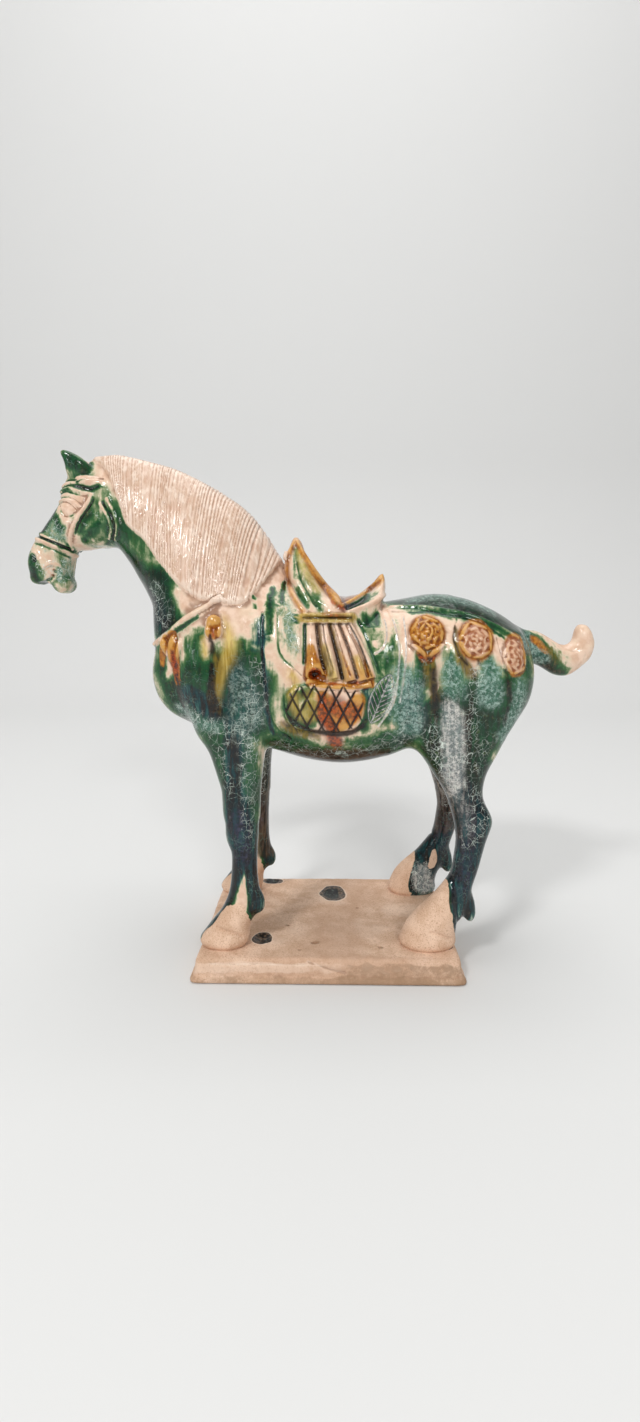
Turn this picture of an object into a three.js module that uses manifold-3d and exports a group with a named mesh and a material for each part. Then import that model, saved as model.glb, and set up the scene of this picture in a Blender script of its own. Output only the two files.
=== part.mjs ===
// A standing, saddled horse in glazed earthenware, on a slab of bare clay.
// The horse is one casting and the slab is another. Lengths are millimetres, +Z is up,
// the horse faces -X with its left flank towards -Y, and the origin is the middle of the slab's underside.
import * as THREE from "three";
import * as BufferGeometryUtils from "three/addons/utils/BufferGeometryUtils.js";
import Module from "manifold-3d";

const wasm = await Module();
wasm.setup();

// Driving sizes of the slab
const SLAB_LENGTH = 109;
const SLAB_WIDTH = 82;
const SLAB_HEIGHT = 9.9;
const SLAB_FLARE = 2.5; // how far the foot spreads past the top on each side
const SLAB_LIP = 2.4; // height of the spread foot
const SLAB_EDGE = 1.2; // rounding of the upper edge
const SLAB_CORNER = 3;

// Driving sizes of the horse
const HOOF_STANCE = 27; // from the middle plane to the middle of a hoof
const SADDLE_FOOT = 146; // level down to which the saddle's plates reach
const SADDLE_TUCK = 4; // how far the saddle's tree is sunk into the back
const RELIEF_DEPTH = 3; // how far a piece of relief is rooted below the skin
const CLOTH_DEPTH = 4; // the folded cloth is rooted deeper than the panel that it covers

// Facets
const TRUNK_SIDES = 26;
const NECK_SIDES = 20;
const HEAD_SIDES = 18;
const LEG_SIDES = 14;
const TAIL_SIDES = 12;
const STRAP_SIDES = 6;
const ROSETTE_STEPS = 24;

const MIRRORED = [-1, 1]; // the two sides of the horse, left flank first

// One closed mesh from rings of equally many points. Each end ring is closed like a ladder,
// with rungs between its first half and its second, so a long bent ring is closed as well as a round one.
function skinOver(rings) {
  const count = rings[0].length;
  const faces = [];
  for (let r = 0; r + 1 < rings.length; r++) {
    for (let i = 0; i < count; i++) {
      const next = (i + 1) % count;
      const low = r * count;
      const high = low + count;
      faces.push(low + i, low + next, high + next, low + i, high + next, high + i);
    }
  }
  const last = (rings.length - 1) * count;
  for (let i = 0; i + 1 < count / 2; i++) {
    const across = count - 1 - i;
    faces.push(across, i + 1, i, across, across - 1, i + 1);
    faces.push(last + i, last + i + 1, last + across, last + i + 1, last + across - 1, last + across);
  }
  const geometry = new THREE.BufferGeometry().setFromPoints(rings.flat());
  geometry.setIndex(faces);
  return geometry;
}

// Six times the volume that a mesh encloses, negative if its faces point inwards.
function signedVolume(vertices, faces) {
  let sum = 0;
  const corner = (n) => new THREE.Vector3().fromArray(vertices, 3 * faces[n]);
  for (let n = 0; n < faces.length; n += 3) sum += corner(n).dot(corner(n + 1).cross(corner(n + 2)));
  return sum;
}

function toSolid(geometry) {
  geometry.deleteAttribute("normal");
  geometry.deleteAttribute("uv");
  const merged = BufferGeometryUtils.mergeVertices(geometry, 1e-5);
  const vertProperties = new Float32Array(merged.attributes.position.array);
  const triVerts = new Uint32Array(merged.index.array);
  if (signedVolume(vertProperties, triVerts) < 0) triVerts.reverse();
  return new wasm.Manifold(new wasm.Mesh({ numProp: 3, vertProperties, triVerts }));
}

function toGeometry(solid) {
  const mesh = solid.getMesh();
  const geometry = new THREE.BufferGeometry();
  geometry.setAttribute("position", new THREE.BufferAttribute(mesh.vertProperties, 3));
  geometry.setIndex(new THREE.BufferAttribute(mesh.triVerts, 1));
  return geometry;
}

const joined = (solids) => solids.reduce((whole, next) => whole.add(next));

// A point on a rounded outline: power 2 is an ellipse, and a higher power is squarer.
function squircle(angle, power) {
  const bend = (v) => Math.sign(v) * Math.abs(v) ** (2 / power);
  return [bend(Math.cos(angle)), bend(Math.sin(angle))];
}

// A limb is a skin over sections. Each station gives both edges of its section as seen from the flank,
// [x, z] of the first edge and [x, z] of the second, then how far its middle lies from the middle plane,
// and half its thickness across. Sections between the stations follow smooth curves through them.
function limb(stations, { sides, steps = 1, power = 2.15, keel = 0, side = 1 }) {
  const through = (pick) => new THREE.CatmullRomCurve3(stations.map(pick), false, "catmullrom", 0.5);
  const firstEdge = through(([x, z, , , y]) => new THREE.Vector3(x, side * y, z));
  const secondEdge = through(([, , x, z, y]) => new THREE.Vector3(x, side * y, z));
  const thickness = through(([, , , , , half]) => new THREE.Vector3(half, 0, 0));
  const count = (stations.length - 1) * steps;
  const rings = [];
  for (let n = 0; n <= count; n++) {
    const t = n / count;
    const first = firstEdge.getPoint(t);
    const second = secondEdge.getPoint(t);
    const half = thickness.getPoint(t).x;
    const ring = [];
    for (let i = 0; i < sides; i++) {
      const [along, across] = squircle((2 * Math.PI * i) / sides, power);
      const point = second.clone().lerp(first, (1 + along) / 2);
      point.y += across * half * (1 - keel * along);
      ring.push(point);
    }
    rings.push(ring);
  }
  return toSolid(skinOver(rings));
}

// A rod or band along points, with a half width and a half height at each.
function rod(points, radii, sides) {
  const curve = new THREE.CatmullRomCurve3(points, false, "catmullrom", 0.5);
  const rings = points.map((point, n) => {
    const tangent = curve.getTangent(n / (points.length - 1));
    const out = new THREE.Vector3(0, Math.sign(point.y) || 1, 0);
    const sideways = new THREE.Vector3().crossVectors(tangent, out).normalize();
    const lift = new THREE.Vector3().crossVectors(sideways, tangent).normalize();
    const ring = [];
    for (let i = 0; i < sides; i++) {
      const angle = (2 * Math.PI * (i + 0.5)) / sides;
      const [wide, high] = radii(n / (points.length - 1));
      const at = point.clone().addScaledVector(sideways, wide * Math.cos(angle));
      ring.push(at.addScaledVector(lift, high * Math.sin(angle)));
    }
    return ring;
  });
  return toSolid(skinOver(rings));
}

function trunk() {
  const stations = [
    // top of the section, underside, middle, half thickness
    [-74.9, 142, -74.9, 124, 0, 7],
    [-74, 150, -73.8, 115.5, 0, 15],
    [-71, 157, -71, 108, 0, 20.5],
    [-62, 163, -62, 101, 0, 25],
    [-50, 166, -50, 96, 0, 27.5],
    [-36, 166, -36, 92.5, 0, 28.8],
    [-22, 164, -22, 89.3, 0, 29.8],
    [-8, 159, -8, 85.6, 0, 30.8],
    [6, 155, 6, 83.8, 0, 31.3],
    [20, 154.5, 20, 86, 0, 31.2],
    [32, 156, 32, 90.5, 0, 30.8],
    [45, 158.2, 45, 95, 0, 30.5],
    [58, 157.2, 58, 96, 0, 29.5],
    [69, 153.3, 69, 96, 0, 27],
    [79, 147.3, 79, 100, 0, 23],
    [86, 141, 86, 107, 0, 16],
    [89.6, 131, 89.6, 115, 0, 6],
  ];
  return limb(stations, { sides: TRUNK_SIDES, power: 2.3 });
}

// Sections of the neck from the poll to the withers: crest, throat, middle, half thickness
const NECK = [
  [-106, 217.4, -103, 184, 0, 9],
  [-101, 219, -99, 179.9, 0, 11],
  [-91, 219.2, -93.4, 178.6, 0, 12.6],
  [-79.5, 216.7, -88, 172, 0, 14.2],
  [-68, 213.5, -84, 165, 0, 16.2],
  [-57, 208.4, -80.3, 158.3, 0, 18.4],
  [-46.5, 202.5, -77.5, 151.5, 0, 20.6],
  [-36.4, 195.2, -76.5, 142, 0, 23],
  [-28.4, 185.3, -74, 131, 0, 25],
  [-23.2, 176.8, -69, 120, 0, 26.5],
  [-17, 168, -60, 110, 0, 27.5],
];

// How much of each neck section, from the crest down, the mane covers, and how far it stands proud
const MANE = [
  [0.15, 0.6],
  [0.24, 1.4],
  [0.52, 2],
  [0.76, 2.2],
  [0.84, 2.2],
  [0.88, 2.2],
  [0.87, 2.1],
  [0.74, 1.8],
  [0.56, 1.2],
  [0.45, 0.6],
  [0.36, 0],
];

function neck() {
  return limb(NECK, { sides: NECK_SIDES, power: 2.1, keel: 0.3 });
}

// The mane lies over the neck like a cape and ends in a step at its lower edge.
function mane() {
  const stations = NECK.map(([x, z, throatX, throatZ, middle, half], n) => {
    const [share, proud] = MANE[n];
    const lowX = THREE.MathUtils.lerp(x, throatX, share);
    const lowZ = THREE.MathUtils.lerp(z, throatZ, share);
    const [, across] = squircle(Math.acos(Math.max(1 - 2 * share, -1)), 2.1);
    const widest = share > 0.5 ? 1 : across;
    return [x, z + 0.3 * proud, lowX, lowZ, middle, half * widest * 0.96 + proud];
  });
  return limb(stations, { sides: NECK_SIDES, power: 2.6, keel: 0.36 });
}

function head() {
  const stations = [
    // forehead and nose, then cheek and jaw, middle, half thickness
    [-109, 215.2, -97, 206, 0, 6],
    [-114.9, 209.5, -95.5, 197, 0, 9.6],
    [-118, 204, -95, 189, 0, 11.4],
    [-118.6, 199.3, -96, 183, 0, 12],
    [-122, 194, -100.5, 179.6, 0, 11.4],
    [-126.6, 187.7, -107, 178.3, 0, 9.8],
    [-130.6, 182.5, -111.8, 175.6, 0, 8.8],
    [-133, 178, -113.6, 170.6, 0, 8.3],
    [-134, 173.2, -115.4, 164.6, 0, 8.5],
    [-133.4, 168.2, -117.2, 160.8, 0, 8.2],
    [-131.4, 163.8, -119.4, 159.3, 0, 6.2],
    [-128.4, 162.3, -121.5, 160, 0, 3],
  ];
  return limb(stations, { sides: HEAD_SIDES, power: 2.25, keel: -0.08 });
}

function ear(side) {
  const stations = [
    [-112.5, 208, -103, 207, 6.4, 3.4],
    [-115, 213.5, -105.3, 213, 7, 3.6],
    [-116.2, 217.6, -108.6, 217.8, 7.6, 2.4],
    [-115.6, 220, -113.4, 220.2, 8, 0.8],
  ];
  return limb(stations, { sides: 10, steps: 2, side });
}

function foreLeg(side) {
  const stations = [
    // front edge, rear edge, middle, half thickness
    [-62, 138, -34, 138, 14, 8],
    [-63, 125, -29, 125, 16.5, 12.2],
    [-58.5, 112, -25.6, 112, 18.5, 12.2],
    [-53, 100, -26, 100, 20, 11],
    [-50.4, 91, -27.3, 91, 21, 10],
    [-47.7, 83, -28.2, 83, 21.8, 8.8],
    [-45.4, 75, -28.9, 75, 22.5, 7.8],
    [-44.7, 66, -29.2, 66, 23.2, 7.2],
    [-43, 58, -29.6, 58, 24, 6.8],
    [-41.2, 50, -30, 50, 24.6, 5.8],
    [-41.2, 40, -30, 40, 25.3, 5.3],
    [-42.3, 31.5, -28.2, 31.5, 25.9, 5.6],
    [-45, 25, -27.2, 24.4, 26.3, 6.1],
    [-49, 20, -32.4, 19, 26.7, 6.5],
    [-52.8, 15, -33.2, 15, HOOF_STANCE, 7.4],
    [-55, SLAB_HEIGHT, -33.8, SLAB_HEIGHT, HOOF_STANCE, 7.8],
  ];
  return limb(stations, { sides: LEG_SIDES, side });
}

function hindLeg(side) {
  const stations = [
    [46, 141, 82, 141, 13, 9],
    [41, 128, 85.6, 128, 15.5, 13.4],
    [37.5, 116, 85, 116, 16.5, 14.4],
    [36.6, 105, 79.6, 105, 18, 13.4],
    [37.6, 97, 74.6, 97, 19, 12.2],
    [40.4, 90, 70.6, 90, 20, 11],
    [45.3, 82, 66.8, 82, 21, 9.4],
    [49.6, 75, 65.4, 75, 22, 8],
    [51.6, 69.5, 66.4, 69.5, 22.8, 7.2],
    [53.6, 63, 69.2, 63, 23.6, 6.8],
    [54.3, 57, 67.4, 57, 24.3, 6.1],
    [53.5, 49, 65.2, 49, 25.1, 5.4],
    [51.9, 41, 63, 41, 25.8, 5.1],
    [48.2, 35.5, 62.4, 35.5, 26.1, 5.4],
    [43.2, 29.6, 61.9, 30, 26.4, 6],
    [37.4, 24.4, 61.6, 24.4, 26.7, 6.6],
    [33.4, 19.6, 59.4, 18.6, HOOF_STANCE, 7.2],
    [31.3, 15, 54.2, 14.6, HOOF_STANCE, 7.7],
    [30.5, SLAB_HEIGHT, 54, SLAB_HEIGHT, HOOF_STANCE, 8],
  ];
  return limb(stations, { sides: LEG_SIDES, side });
}

function tail() {
  const stations = [
    // upper edge, lower edge, middle, half thickness
    [80, 146, 82, 126, 0, 8],
    [87.5, 143, 88, 128.2, 0, 6.8],
    [93, 142.3, 94.6, 126.3, 0, 6.3],
    [98, 139.7, 101, 122.6, 0, 6],
    [102.2, 137, 107, 122.2, 0, 5.7],
    [105.6, 135.9, 112.3, 125.4, 0, 5.3],
    [108, 136.7, 117, 130, 0, 5],
    [109.3, 139, 118.9, 136, 0, 4.6],
    [110, 142.6, 117.8, 141, 0, 4],
    [111.4, 145.2, 115.4, 145, 0, 2.2],
  ];
  return limb(stations, { sides: TAIL_SIDES });
}

// The saddle: a high pommel plate in front, a lower cantle behind, and the seat between them.
function saddle() {
  const pommel = [
    [-13, SADDLE_FOOT, 2, SADDLE_FOOT, 0, 23.5],
    [-15, 155, 3, 155, 0, 21],
    [-18.4, 163, -2.5, 163, 0, 17.6],
    [-19.4, 170, -6.6, 170, 0, 13.8],
    [-19, 176, -9.6, 176, 0, 9.4],
    [-17.4, 181, -11.8, 181, 0, 5.2],
    [-15.6, 183.4, -13.4, 183.4, 0, 2],
  ];
  const cantle = [
    [7, SADDLE_FOOT, 20, SADDLE_FOOT, 0, 23.5],
    [9, 154, 24, 157, 0, 20.5],
    [15, 158.6, 24.5, 161.6, 0, 15],
    [19.6, 162.5, 24.6, 165, 0, 9.5],
    [22, 166, 24, 167.4, 0, 3.6],
  ];
  const seat = [
    [-13, 157, -13, SADDLE_FOOT - SADDLE_TUCK, 0, 19],
    [-4, 160.6, -4, SADDLE_FOOT - SADDLE_TUCK, 0, 22.5],
    [6, 158.3, 6, SADDLE_FOOT - SADDLE_TUCK, 0, 24],
    [15, 159, 15, SADDLE_FOOT - SADDLE_TUCK, 0, 23],
    [21, 157.5, 21, SADDLE_FOOT - SADDLE_TUCK, 0, 18],
  ];
  return joined([
    limb(pommel, { sides: NECK_SIDES, power: 2.5 }),
    limb(cantle, { sides: NECK_SIDES, power: 2.5 }),
    limb(seat, { sides: NECK_SIDES, power: 2.5 }),
  ]);
}

function flesh() {
  const parts = [trunk(), neck(), mane(), head(), tail(), saddle()];
  for (const side of MIRRORED) parts.push(foreLeg(side), hindLeg(side), ear(side));
  return joined(parts);
}

// Finds the skin of the horse at [x, z] on one flank, so that relief can be laid on it.
function flankFinder(solid) {
  const surface = new THREE.Mesh(toGeometry(solid), new THREE.MeshBasicMaterial({ side: THREE.DoubleSide }));
  const ray = new THREE.Raycaster();
  const FAR_OUT = 200;
  return (x, z, side) => {
    ray.set(new THREE.Vector3(x, side * FAR_OUT, z), new THREE.Vector3(0, -side, 0));
    const hits = ray.intersectObject(surface);
    return hits.length ? Math.abs(hits[0].point.y) : 0;
  };
}

// A boss of relief in polar rings: height(share of the radius, angle) is how far it stands proud.
function boss(skin, side, { x, z, reach, rings, steps, height }) {
  const outline = (share, angle) => {
    const far = reach(angle) * share;
    return [x + far * Math.cos(angle), z + far * Math.sin(angle)];
  };
  const ringAt = (share, level) =>
    Array.from({ length: steps }, (_, i) => {
      const angle = (2 * Math.PI * i) / steps;
      const [px, pz] = outline(share, angle);
      return new THREE.Vector3(px, side * (skin(px, pz, side) + level(angle)), pz);
    });
  const stack = [ringAt(0.3, () => -RELIEF_DEPTH), ringAt(1, () => -RELIEF_DEPTH)];
  for (let n = rings; n >= 1; n--) stack.push(ringAt(n / rings, (angle) => height(n / rings, angle)));
  return toSolid(skinOver(stack));
}

// Flower bosses on the haunch: a raised eye, a ring of petals and a plain rim.
function rosettes(skin, side) {
  const FLOWERS = [
    [40, 141, 7.6],
    [59.5, 139.5, 8.8],
    [74.5, 133.5, 7.2],
  ];
  const PETALS = 8;
  return FLOWERS.map(([x, z, radius]) =>
    boss(skin, side, {
      x,
      z,
      rings: 3,
      steps: ROSETTE_STEPS,
      reach: (angle) => radius * (1 + 0.05 * Math.cos(PETALS * angle)),
      height: (share, angle) => 0.6 + 1.5 * Math.cos(share * 1.45) + 0.35 * share * Math.cos(PETALS * angle),
    }),
  );
}

// Almond pendants that hang from the breast strap.
function pendants(skin, side) {
  const DROPS = [
    [-47.5, 141.5, 3.1, 6],
    [-65, 134, 3.3, 7.5],
  ];
  return DROPS.map(([x, z, half, tall]) =>
    boss(skin, side, {
      x,
      z,
      rings: 3,
      steps: 16,
      reach: (angle) => Math.hypot(half * Math.cos(angle), tall * Math.sin(angle)),
      height: (share) => 0.4 + 1.5 * Math.cos(share * 1.5),
    }),
  );
}

function strapAlong(skin, side, path, half, proud) {
  const points = path.map(([x, z]) => new THREE.Vector3(x, side * (skin(x, z, side) + proud - half * 0.5), z));
  return rod(points, () => [half, half], STRAP_SIDES);
}

function straps(skin, side) {
  const breast = [
    [-40, 153.5],
    [-48, 151.5],
    [-56, 148.6],
    [-63, 145.6],
    [-69, 142.6],
    [-72.5, 140],
  ];
  const crupper = [
    [28, 152],
    [38, 152],
    [50, 151],
    [60, 148.5],
    [70, 144],
    [79, 139.5],
  ];
  return [strapAlong(skin, side, breast, 1.2, 0.8), strapAlong(skin, side, crupper, 1.2, 0.7)];
}

// The cloth tied below the saddle: folds that fan out downwards from a double band.
function clothFolds(skin, side) {
  const BAND = { left: -9.5, right: 8.5, level: 146.4 };
  const HEM = { left: -11.5, right: 18, leftLevel: 119.5, rightLevel: 117.5 };
  const FOLDS = 5;
  const COLUMNS = 20;
  const ROWS = 5;
  const cloth = [];
  for (let row = 0; row <= ROWS; row++) {
    const v = row / ROWS;
    const pointAt = (u, proud) => {
      const x = THREE.MathUtils.lerp(
        THREE.MathUtils.lerp(BAND.left, BAND.right, u),
        THREE.MathUtils.lerp(HEM.left, HEM.right, u),
        v,
      );
      const hem = THREE.MathUtils.lerp(HEM.leftLevel, HEM.rightLevel, u);
      const z = THREE.MathUtils.lerp(BAND.level, hem, v);
      return new THREE.Vector3(x, side * (skin(x, z, side) + proud), z);
    };
    const ring = [];
    for (let column = 0; column <= COLUMNS; column++) {
      const u = column / COLUMNS;
      const ridge = Math.abs(Math.sin(Math.PI * FOLDS * u));
      ring.push(pointAt(u, 0.5 + (0.9 + 2.2 * v) * ridge));
    }
    for (let column = COLUMNS; column >= 0; column--) ring.push(pointAt(column / COLUMNS, -CLOTH_DEPTH));
    cloth.push(ring);
  }
  const bands = [149.2, 146.6].map((z) =>
    strapAlong(skin, side, [[-10.5, z], [-4, z], [3, z], [10, z]], 1.4, 1.5),
  );
  return [toSolid(skinOver(cloth)), ...bands];
}

// The quilted end of the saddle cloth that shows below the folds.
function quiltedPanel(skin, side) {
  return boss(skin, side, {
    x: -1.5,
    z: 110,
    rings: 3,
    steps: 24,
    reach: (angle) => 1 / Math.hypot(Math.cos(angle) / 15.5, Math.sin(angle) / 10),
    height: (share) => 1.1 * Math.sqrt(Math.max(1 - share ** 4, 0)) + 0.2,
  });
}

function horse() {
  const body = flesh();
  const skin = flankFinder(body);
  const relief = MIRRORED.flatMap((side) => [
    ...rosettes(skin, side),
    ...pendants(skin, side),
    ...straps(skin, side),
    quiltedPanel(skin, side),
    ...clothFolds(skin, side),
  ]);
  return toGeometry(joined([body, ...relief]));
}

function slab() {
  const HALF_LENGTH = SLAB_LENGTH / 2;
  const HALF_WIDTH = SLAB_WIDTH / 2;
  const ARC_STEPS = 4;
  const ringAt = (z, spread) => {
    const ring = [];
    for (let quarter = 0; quarter < 4; quarter++) {
      for (let i = 0; i <= ARC_STEPS; i++) {
        const angle = (Math.PI / 2) * (quarter + i / ARC_STEPS);
        const signX = quarter === 0 || quarter === 3 ? 1 : -1;
        const signY = quarter < 2 ? 1 : -1;
        const x = signX * (HALF_LENGTH + spread - SLAB_CORNER) + SLAB_CORNER * Math.cos(angle);
        const y = signY * (HALF_WIDTH + spread - SLAB_CORNER) + SLAB_CORNER * Math.sin(angle);
        ring.push(new THREE.Vector3(x, y, z));
      }
    }
    return ring;
  };
  const rings = [
    ringAt(0, SLAB_FLARE - 0.3),
    ringAt(0.6, SLAB_FLARE),
    ringAt(SLAB_LIP * 0.6, SLAB_FLARE * 0.9),
    ringAt(SLAB_LIP, SLAB_FLARE * 0.45),
    ringAt(SLAB_LIP + 2, SLAB_FLARE * 0.2),
    ringAt(SLAB_HEIGHT - SLAB_EDGE, 0),
    ringAt(SLAB_HEIGHT - 0.3 * SLAB_EDGE, -0.3 * SLAB_EDGE),
    ringAt(SLAB_HEIGHT, -SLAB_EDGE),
  ];
  return toGeometry(toSolid(skinOver(rings)));
}

function named(name, geometry, color, roughness) {
  const material = new THREE.MeshStandardMaterial({ color, roughness, metalness: 0 });
  const mesh = new THREE.Mesh(geometry, material);
  mesh.name = name;
  return mesh;
}

const group = new THREE.Group();
group.add(named("horse", horse(), 0x3c5f4e, 0.18));
group.add(named("base", slab(), 0xcda58c, 0.85));

export default group;
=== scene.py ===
import math

import bpy
import numpy as np
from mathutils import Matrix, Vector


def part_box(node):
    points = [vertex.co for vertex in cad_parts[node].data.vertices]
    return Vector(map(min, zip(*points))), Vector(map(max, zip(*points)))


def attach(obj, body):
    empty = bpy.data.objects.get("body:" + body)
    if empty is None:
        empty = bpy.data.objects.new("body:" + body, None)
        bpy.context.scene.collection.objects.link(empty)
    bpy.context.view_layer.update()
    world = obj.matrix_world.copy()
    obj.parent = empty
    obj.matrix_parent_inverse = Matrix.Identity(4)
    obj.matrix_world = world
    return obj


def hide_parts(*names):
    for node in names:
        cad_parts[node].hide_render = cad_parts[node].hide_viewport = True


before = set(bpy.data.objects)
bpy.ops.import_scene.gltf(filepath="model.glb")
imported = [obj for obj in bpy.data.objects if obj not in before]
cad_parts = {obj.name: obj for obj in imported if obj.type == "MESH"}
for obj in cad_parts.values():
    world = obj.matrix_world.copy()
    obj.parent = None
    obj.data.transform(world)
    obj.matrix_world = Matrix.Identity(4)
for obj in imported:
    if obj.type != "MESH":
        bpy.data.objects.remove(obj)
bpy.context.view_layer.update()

import openvdb
from mathutils import Vector

bl_info = {
    "name": "Sancai Horse Figure",
    "version": (1, 0, 0),
    "blender": (4, 5, 0),
    "location": "3D View > Sidebar > Sancai",
    "description": "Models, glazes and lights a saddled horse in splashed lead glaze on its clay slab",
    "category": "Object",
}

# Lengths in this file are millimetres until a mesh is made. The horse faces -X, its left flank towards -Y.
# The two flanks come from one mould, so forms are tables for one flank, at y above zero, and are mirrored.
MM = 0.001


# Tables of the horse's forms. A station holds both edges of a section as seen from the flank,
# [x, z] and [x, z], then how far its middle lies from the middle plane, and half its thickness across.
TRUNK = [
    [-74.9, 142, -74.9, 124, 0, 7], [-74, 150, -73.8, 115.5, 0, 15], [-71, 157, -71, 108, 0, 20.5],
    [-62, 163, -62, 101, 0, 25], [-50, 166, -50, 96, 0, 27.5], [-36, 166, -36, 92.5, 0, 28.8],
    [-22, 164, -22, 89.3, 0, 29.8], [-8, 159, -8, 85.6, 0, 30.8], [6, 155, 6, 83.8, 0, 31.3],
    [20, 154.5, 20, 86, 0, 31.2], [32, 156, 32, 90.5, 0, 30.8], [45, 158.2, 45, 95, 0, 30.5],
    [58, 157.2, 58, 96, 0, 29.5], [69, 153.3, 69, 96, 0, 27], [79, 147.3, 79, 100, 0, 23],
    [86, 141, 86, 107, 0, 16], [89.6, 131, 89.6, 115, 0, 6],
]
NECK = [
    [-106, 217, -103, 184, 0, 9], [-101, 218.4, -99, 179.9, 0, 11], [-91, 218.5, -93.4, 178.6, 0, 12.6],
    [-79.5, 216.2, -88, 172, 0, 14.2], [-68, 213, -84, 165, 0, 16.2], [-57, 208, -80.3, 158.3, 0, 18.4],
    [-46.5, 202, -77.5, 151.5, 0, 20.6], [-36.4, 195, -76.5, 142, 0, 23],
    [-28.4, 185.2, -74, 131, 0, 25], [-23.2, 176.8, -69, 120, 0, 26.5], [-17, 168, -60, 110, 0, 27.5],
]
HEAD = [
    [-109, 215.2, -97, 206, 0, 6], [-114.9, 209.5, -95.5, 197, 0, 9.4], [-118, 204, -95, 189, 0, 10.8],
    [-118.6, 199.3, -96, 183, 0, 11.2], [-122, 194, -100.5, 179.8, 0, 10.4],
    [-126.6, 187.7, -107, 178.3, 0, 9], [-130.6, 182.5, -112.4, 177.6, 0, 8.2],
    [-133.1, 177.6, -113.8, 172.8, 0, 7.6], [-133.8, 172.5, -114.6, 168.4, 0, 7.8],
    [-133.5, 167.6, -115.6, 164.8, 0, 7.4], [-132.4, 164.4, -118, 162.8, 0, 5.8],
    [-130.4, 163.3, -122.6, 163, 0, 2.8],
]
EAR = [
    [-113.4, 208.4, -102.2, 209.4, 5.4, 3.4], [-114.2, 211.6, -102.8, 212.9, 6.4, 3.3],
    [-115.4, 215, -105.2, 215.9, 7.2, 2.9], [-116.2, 218, -108.6, 218.2, 7.8, 2.1],
    [-116, 219.8, -112.2, 219.9, 8.1, 1.2], [-115.2, 220.4, -114.4, 220.4, 8.2, 0.5],
]
FORE_LEG = [
    [-62, 138, -34, 138, 14, 8], [-63, 125, -29, 125, 16.5, 12.2], [-58.5, 112, -25.6, 112, 18.5, 12.2],
    [-53, 100, -26, 100, 20, 11], [-50.4, 91, -27.3, 91, 21, 10], [-47.7, 83, -28.2, 83, 21.8, 8.8],
    [-45.4, 75, -28.9, 75, 22.5, 7.8], [-44.7, 66, -29.2, 66, 23.2, 7.2], [-43, 58, -29.6, 58, 24, 6.8],
    [-41.2, 50, -30, 50, 24.6, 5.8], [-41.2, 40, -30, 40, 25.3, 5.2],
    [-42.3, 31.5, -29.2, 31.5, 25.9, 5.4], [-45, 25, -29.6, 24.4, 26.3, 6],
    [-49, 20, -32.8, 19, 26.7, 6.5], [-52.8, 15, -33.2, 14.6, 27, 7.4],
    [-54.8, 12.2, -33.6, 12.2, 27, 8.2], [-54, 10.2, -34.4, 10.2, 27, 7.8], [-51, 8, -36, 8, 27, 6],
]
HIND_LEG = [
    [46, 141, 82, 141, 13, 9], [41, 128, 85.6, 128, 15.5, 13.4], [37.5, 116, 85, 116, 16.5, 14.4],
    [36.6, 105, 79.6, 105, 18, 13.4], [37.6, 97, 74.6, 97, 19, 12.2], [40.4, 90, 70.6, 90, 20, 11],
    [45.3, 82, 66.8, 82, 21, 9.4], [49.6, 75, 65.4, 75, 22, 8], [51.6, 69.5, 66.4, 69.5, 22.8, 7.2],
    [53.6, 63, 69.2, 63, 23.6, 6.8], [54.3, 57, 67.4, 57, 24.3, 6.1], [53.5, 49, 65.2, 49, 25.1, 5.4],
    [51.9, 41, 63, 41, 25.8, 5], [48.2, 35.5, 61.2, 35.5, 26.1, 5.2], [43.2, 29.6, 59.6, 30, 26.4, 5.8],
    [37.4, 24.4, 57.6, 24.4, 26.7, 6.6], [33.4, 19.6, 55, 19, 27, 7.2], [31.3, 15, 54, 14.6, 27, 7.7],
    [30.2, 12.2, 54.4, 12.2, 27, 8.4], [31, 10.2, 53.6, 10.2, 27, 8], [34, 8, 51, 8, 27, 6],
]
TAIL = [
    [80, 146, 82, 126, 0, 8], [87.5, 143, 88, 128.2, 0, 6.8], [93, 142.3, 94.6, 126.3, 0, 6.3],
    [98, 139.7, 101, 122.6, 0, 6], [102.2, 137, 107, 122.2, 0, 5.7],
    [105.6, 135.9, 112.3, 125.4, 0, 5.3], [108, 136.7, 117, 130, 0, 5], [109.3, 139, 118.9, 136, 0, 4.6],
    [110, 142.6, 117.8, 141, 0, 4], [111.4, 145.2, 115.4, 145, 0, 2.2],
]
POMMEL = [
    [-13, 144, 2, 144, 0, 23.5], [-14.4, 155, 2, 155, 0, 21], [-17.6, 163, -3, 163, 0, 17.4],
    [-18.6, 170, -7, 170, 0, 13.2], [-18.2, 176, -10, 176, 0, 8.8], [-16.8, 181, -11.8, 181, 0, 4.6],
    [-15.4, 183.6, -13.6, 183.6, 0, 1.4],
]
CANTLE = [
    [7, 144, 20, 144, 0, 23.5], [10, 153, 24.4, 156.4, 0, 20.2], [16, 158, 25.2, 161, 0, 14.6],
    [20.4, 162.4, 25, 164.8, 0, 8.8], [22.4, 166.6, 24.2, 167.8, 0, 2.6],
]
SEAT = [
    [-13, 156, -13, 140, 0, 19], [-4, 160, -4, 140, 0, 22.5], [6, 157.6, 6, 140, 0, 24],
    [15, 158.6, 15, 140, 0, 23], [21, 157.5, 21, 140, 0, 18],
]

# The mane's lower edge as seen from the flank, from the poll to the withers
MANE_HEM = [
    [-104, 217], [-97.4, 212], [-92.8, 204.6], [-89.4, 196], [-86.4, 187.8], [-82, 183.6], [-78, 180.4],
    [-74, 174.8], [-69, 168.4], [-64, 162.8], [-59, 158.6], [-54, 155.6], [-48, 153.8], [-41, 152.8],
    [-34.4, 153.6], [-28.6, 160], [-20, 173],
]

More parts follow.
